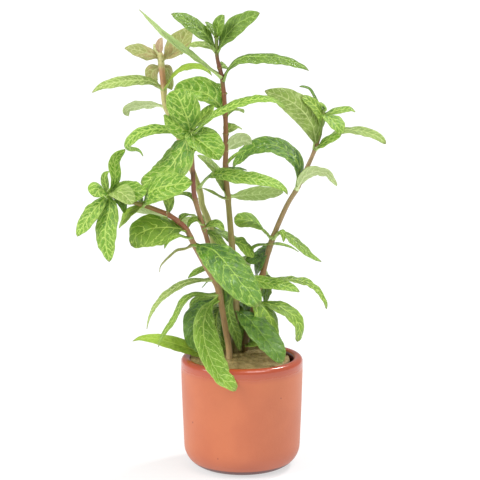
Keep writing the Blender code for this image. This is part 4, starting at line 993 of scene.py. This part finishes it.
def pot_skin():
    """Fired clay: a satin body with faint mottling and specks, a glossy lip, and its inner wall painted
    dark maroon as shade.
    """
    skin = Skin("fired_clay")
    where = skin.place()
    x, y, z = skin.split(where)
    inner = LIP_RADIUS - WALL
    wide = skin.noise(where, 0.035, 3.0)
    body = skin.mix(skin.band(wide, 0.62, 0.38), rgb((207, 108, 58)), rgb((199, 99, 51)))
    grain = skin.noise(where, 1.6, 4.0, 0.7)
    body = skin.mix(skin.math("MULTIPLY", grain, 0.16), body, rgb((230, 150, 112)))
    specks = skin.node("TexVoronoi", {"Vector": where, "Scale": 0.1}, feature="F1")
    speck = skin.band(specks.outputs["Distance"], 0.035, 0.06)
    body = skin.mix(skin.math("MULTIPLY", speck, 0.75), body, rgb((150, 56, 40)))
    wavy = skin.math("MULTIPLY_ADD", skin.noise(where, 0.12, 1.0), 1.6, POT_HEIGHT - LIP_BAND - 1.4)
    below = skin.band(skin.math("SUBTRACT", z, wavy), -2.8, 2.2)
    colour = skin.mix(below, rgb((188, 80, 46)), body)
    # Darker and redder towards the foot.
    darker_foot = skin.math("MULTIPLY", skin.band(z, 3.0, 15.0), 0.5)
    colour = skin.mix(darker_foot, colour, rgb((172, 80, 54)))
    # Painted shade: the inner wall below the lip's top is coloured dark maroon, as the shaded depth of the
    # pot.
    radius = skin.math("SQRT", skin.math("ADD", skin.math("POWER", x, 2.0), skin.math("POWER", y, 2.0)))
    deep = skin.band(z, POT_HEIGHT - 1.3, POT_HEIGHT - 0.5)
    painted_inner_shade = skin.math("MULTIPLY", skin.band(radius, inner + 0.3, inner + 1.1), deep)
    colour = skin.mix(painted_inner_shade, colour, rgb((96, 40, 34)))
    height = skin.math("MULTIPLY_ADD", skin.noise(where, 0.5, 3.0), 2.0, grain)
    skin.bump(height, 0.035)
    rough = skin.math("MULTIPLY_ADD", grain, 0.1, 0.36)
    glaze = skin.math("MULTIPLY", skin.math("SUBTRACT", 1.0, below), -0.24)
    return skin.finish(colour, skin.math("ADD", rough, glaze), Specular_IOR_Level=0.9)


def wool_skin(name, light):
    """Wet mineral wool: tan and olive brown, streaked with lighter fibres, with painted shade in its pits.
    """
    skin = Skin(name)
    where = skin.place()
    x, y, z = skin.split(where)
    clump = skin.noise(where, 0.16, 4.0, 0.6)
    colour = skin.mix(skin.band(clump, 0.6, 0.4), rgb((186, 162, 108), light), rgb((164, 140, 88), light))
    stretch = skin.join(skin.math("MULTIPLY", x, 0.35), skin.math("MULTIPLY", y, 0.35), z)
    thread = skin.noise(stretch, 2.4, 4.0, 0.75)
    colour = skin.mix(skin.band(thread, 0.68, 0.54), colour, rgb((206, 186, 138), light))
    # Painted shade: darker patches standing for the shade in the wool's pits.
    painted_pit_shade = skin.band(skin.noise(where, 0.9, 3.0), 0.3, 0.42)
    colour = skin.mix(skin.math("MULTIPLY", painted_pit_shade, 0.5), colour, rgb((118, 98, 60), light))
    skin.bump(skin.math("ADD", thread, skin.noise(where, 3.5, 3.0)), 0.28)
    return skin.finish(colour, skin.math("MULTIPLY_ADD", clump, 0.25, 0.6))


def floor_skin():
    """Plain pale paper, lit a little from below like a photographer's table."""
    skin = Skin("floor_paper")
    where = skin.place()
    tint = skin.noise(where, 0.02, 2.0)
    colour = skin.mix(tint, rgb((168, 168, 168)), rgb((164, 164, 165)))
    return skin.finish(colour, skin.math("MULTIPLY_ADD", tint, 0.1, 0.85),
                       Emission_Color=(1.0, 1.0, 1.0, 1.0), Emission_Strength=0.62)


def add_sun(name, place, strength, spread, colour):
    """A soft light from the direction of a place, spread over some degrees."""
    light = bpy.data.lights.new(name, "SUN")
    light.energy = strength
    light.angle = math.radians(spread)
    light.color = colour
    lamp = bpy.data.objects.new(name, light)
    lamp.location = [c * MM for c in place]
    lamp.rotation_euler = aimed(place, LIGHT_AIM)
    bpy.context.scene.collection.objects.link(lamp)


def aimed(place, aim):
    """The turn that points a camera or a light from a place to an aim."""
    from_to = [b - a for a, b in zip(place, aim)]
    flat = math.hypot(from_to[0], from_to[1])
    return (math.atan2(flat, -from_to[2]), 0.0, math.atan2(-from_to[0], from_to[1]))


def make_camera():
    """The photograph's viewpoint."""
    camera = bpy.data.cameras.new("photo_camera")
    camera.lens = LENS
    camera.sensor_width = SENSOR
    camera.clip_start = 0.01
    camera.clip_end = 200.0
    seat = bpy.data.objects.new("photo_camera", camera)
    seat.location = [c * MM for c in EYE]
    seat.rotation_euler = aimed(EYE, LOOK_AT)
    bpy.context.scene.collection.objects.link(seat)
    bpy.context.scene.camera = seat


def make_studio():
    """A plain pale floor, white surroundings and soft lights, the main one from the left."""
    bpy.ops.mesh.primitive_circle_add(vertices=96, radius=FLOOR_REACH * MM, fill_type="NGON")
    floor = bpy.context.object
    floor.name = "floor"
    floor.data.materials.append(floor_skin())
    world = bpy.data.worlds.new("studio")
    world.use_nodes = True
    world.node_tree.nodes["Background"].inputs[0].default_value = (1.0, 1.0, 1.0, 1.0)
    world.node_tree.nodes["Background"].inputs[1].default_value = AMBIENT
    bpy.context.scene.world = world
    add_sun("key", (-750, -370, 640), KEY, 30, (1.0, 0.99, 0.97))
    add_sun("window", (360, -420, 1000), WINDOW, 34, (0.97, 0.98, 1.0))
    add_sun("rim", (430, 320, 830), RIM, 9, (1.0, 1.0, 1.0))
    bpy.context.scene.view_settings.view_transform = "Standard"


def dress(piece, slot, *nodes):
    """A finished piece rides on the frame and stands for the nodes it replaces."""
    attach(piece, "root")
    if nodes:
        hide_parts(*nodes)


def main():
    """Loads the frame and dresses it."""
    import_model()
    make_camera()
    make_studio()
    dress(make_pot(pot_skin()), "fired_clay", "pot")
    dress(make_plug(wool_skin("wet_wool", 1.0)), "mineral_wool", "plug")
    dress(make_fibres(wool_skin("wool_fibre", 1.35)), "mineral_wool", "plug")
    skins = {kind: leaf_skin(kind) for kind in KINDS}
    backs = {kind: leaf_back(kind) for kind in KINDS}
    for name in STEMS:
        dress(make_leaves(name, skins, backs), "leaf", name)
        dress(make_stem(name, stem_skin(name)), "leaf", name)


main()
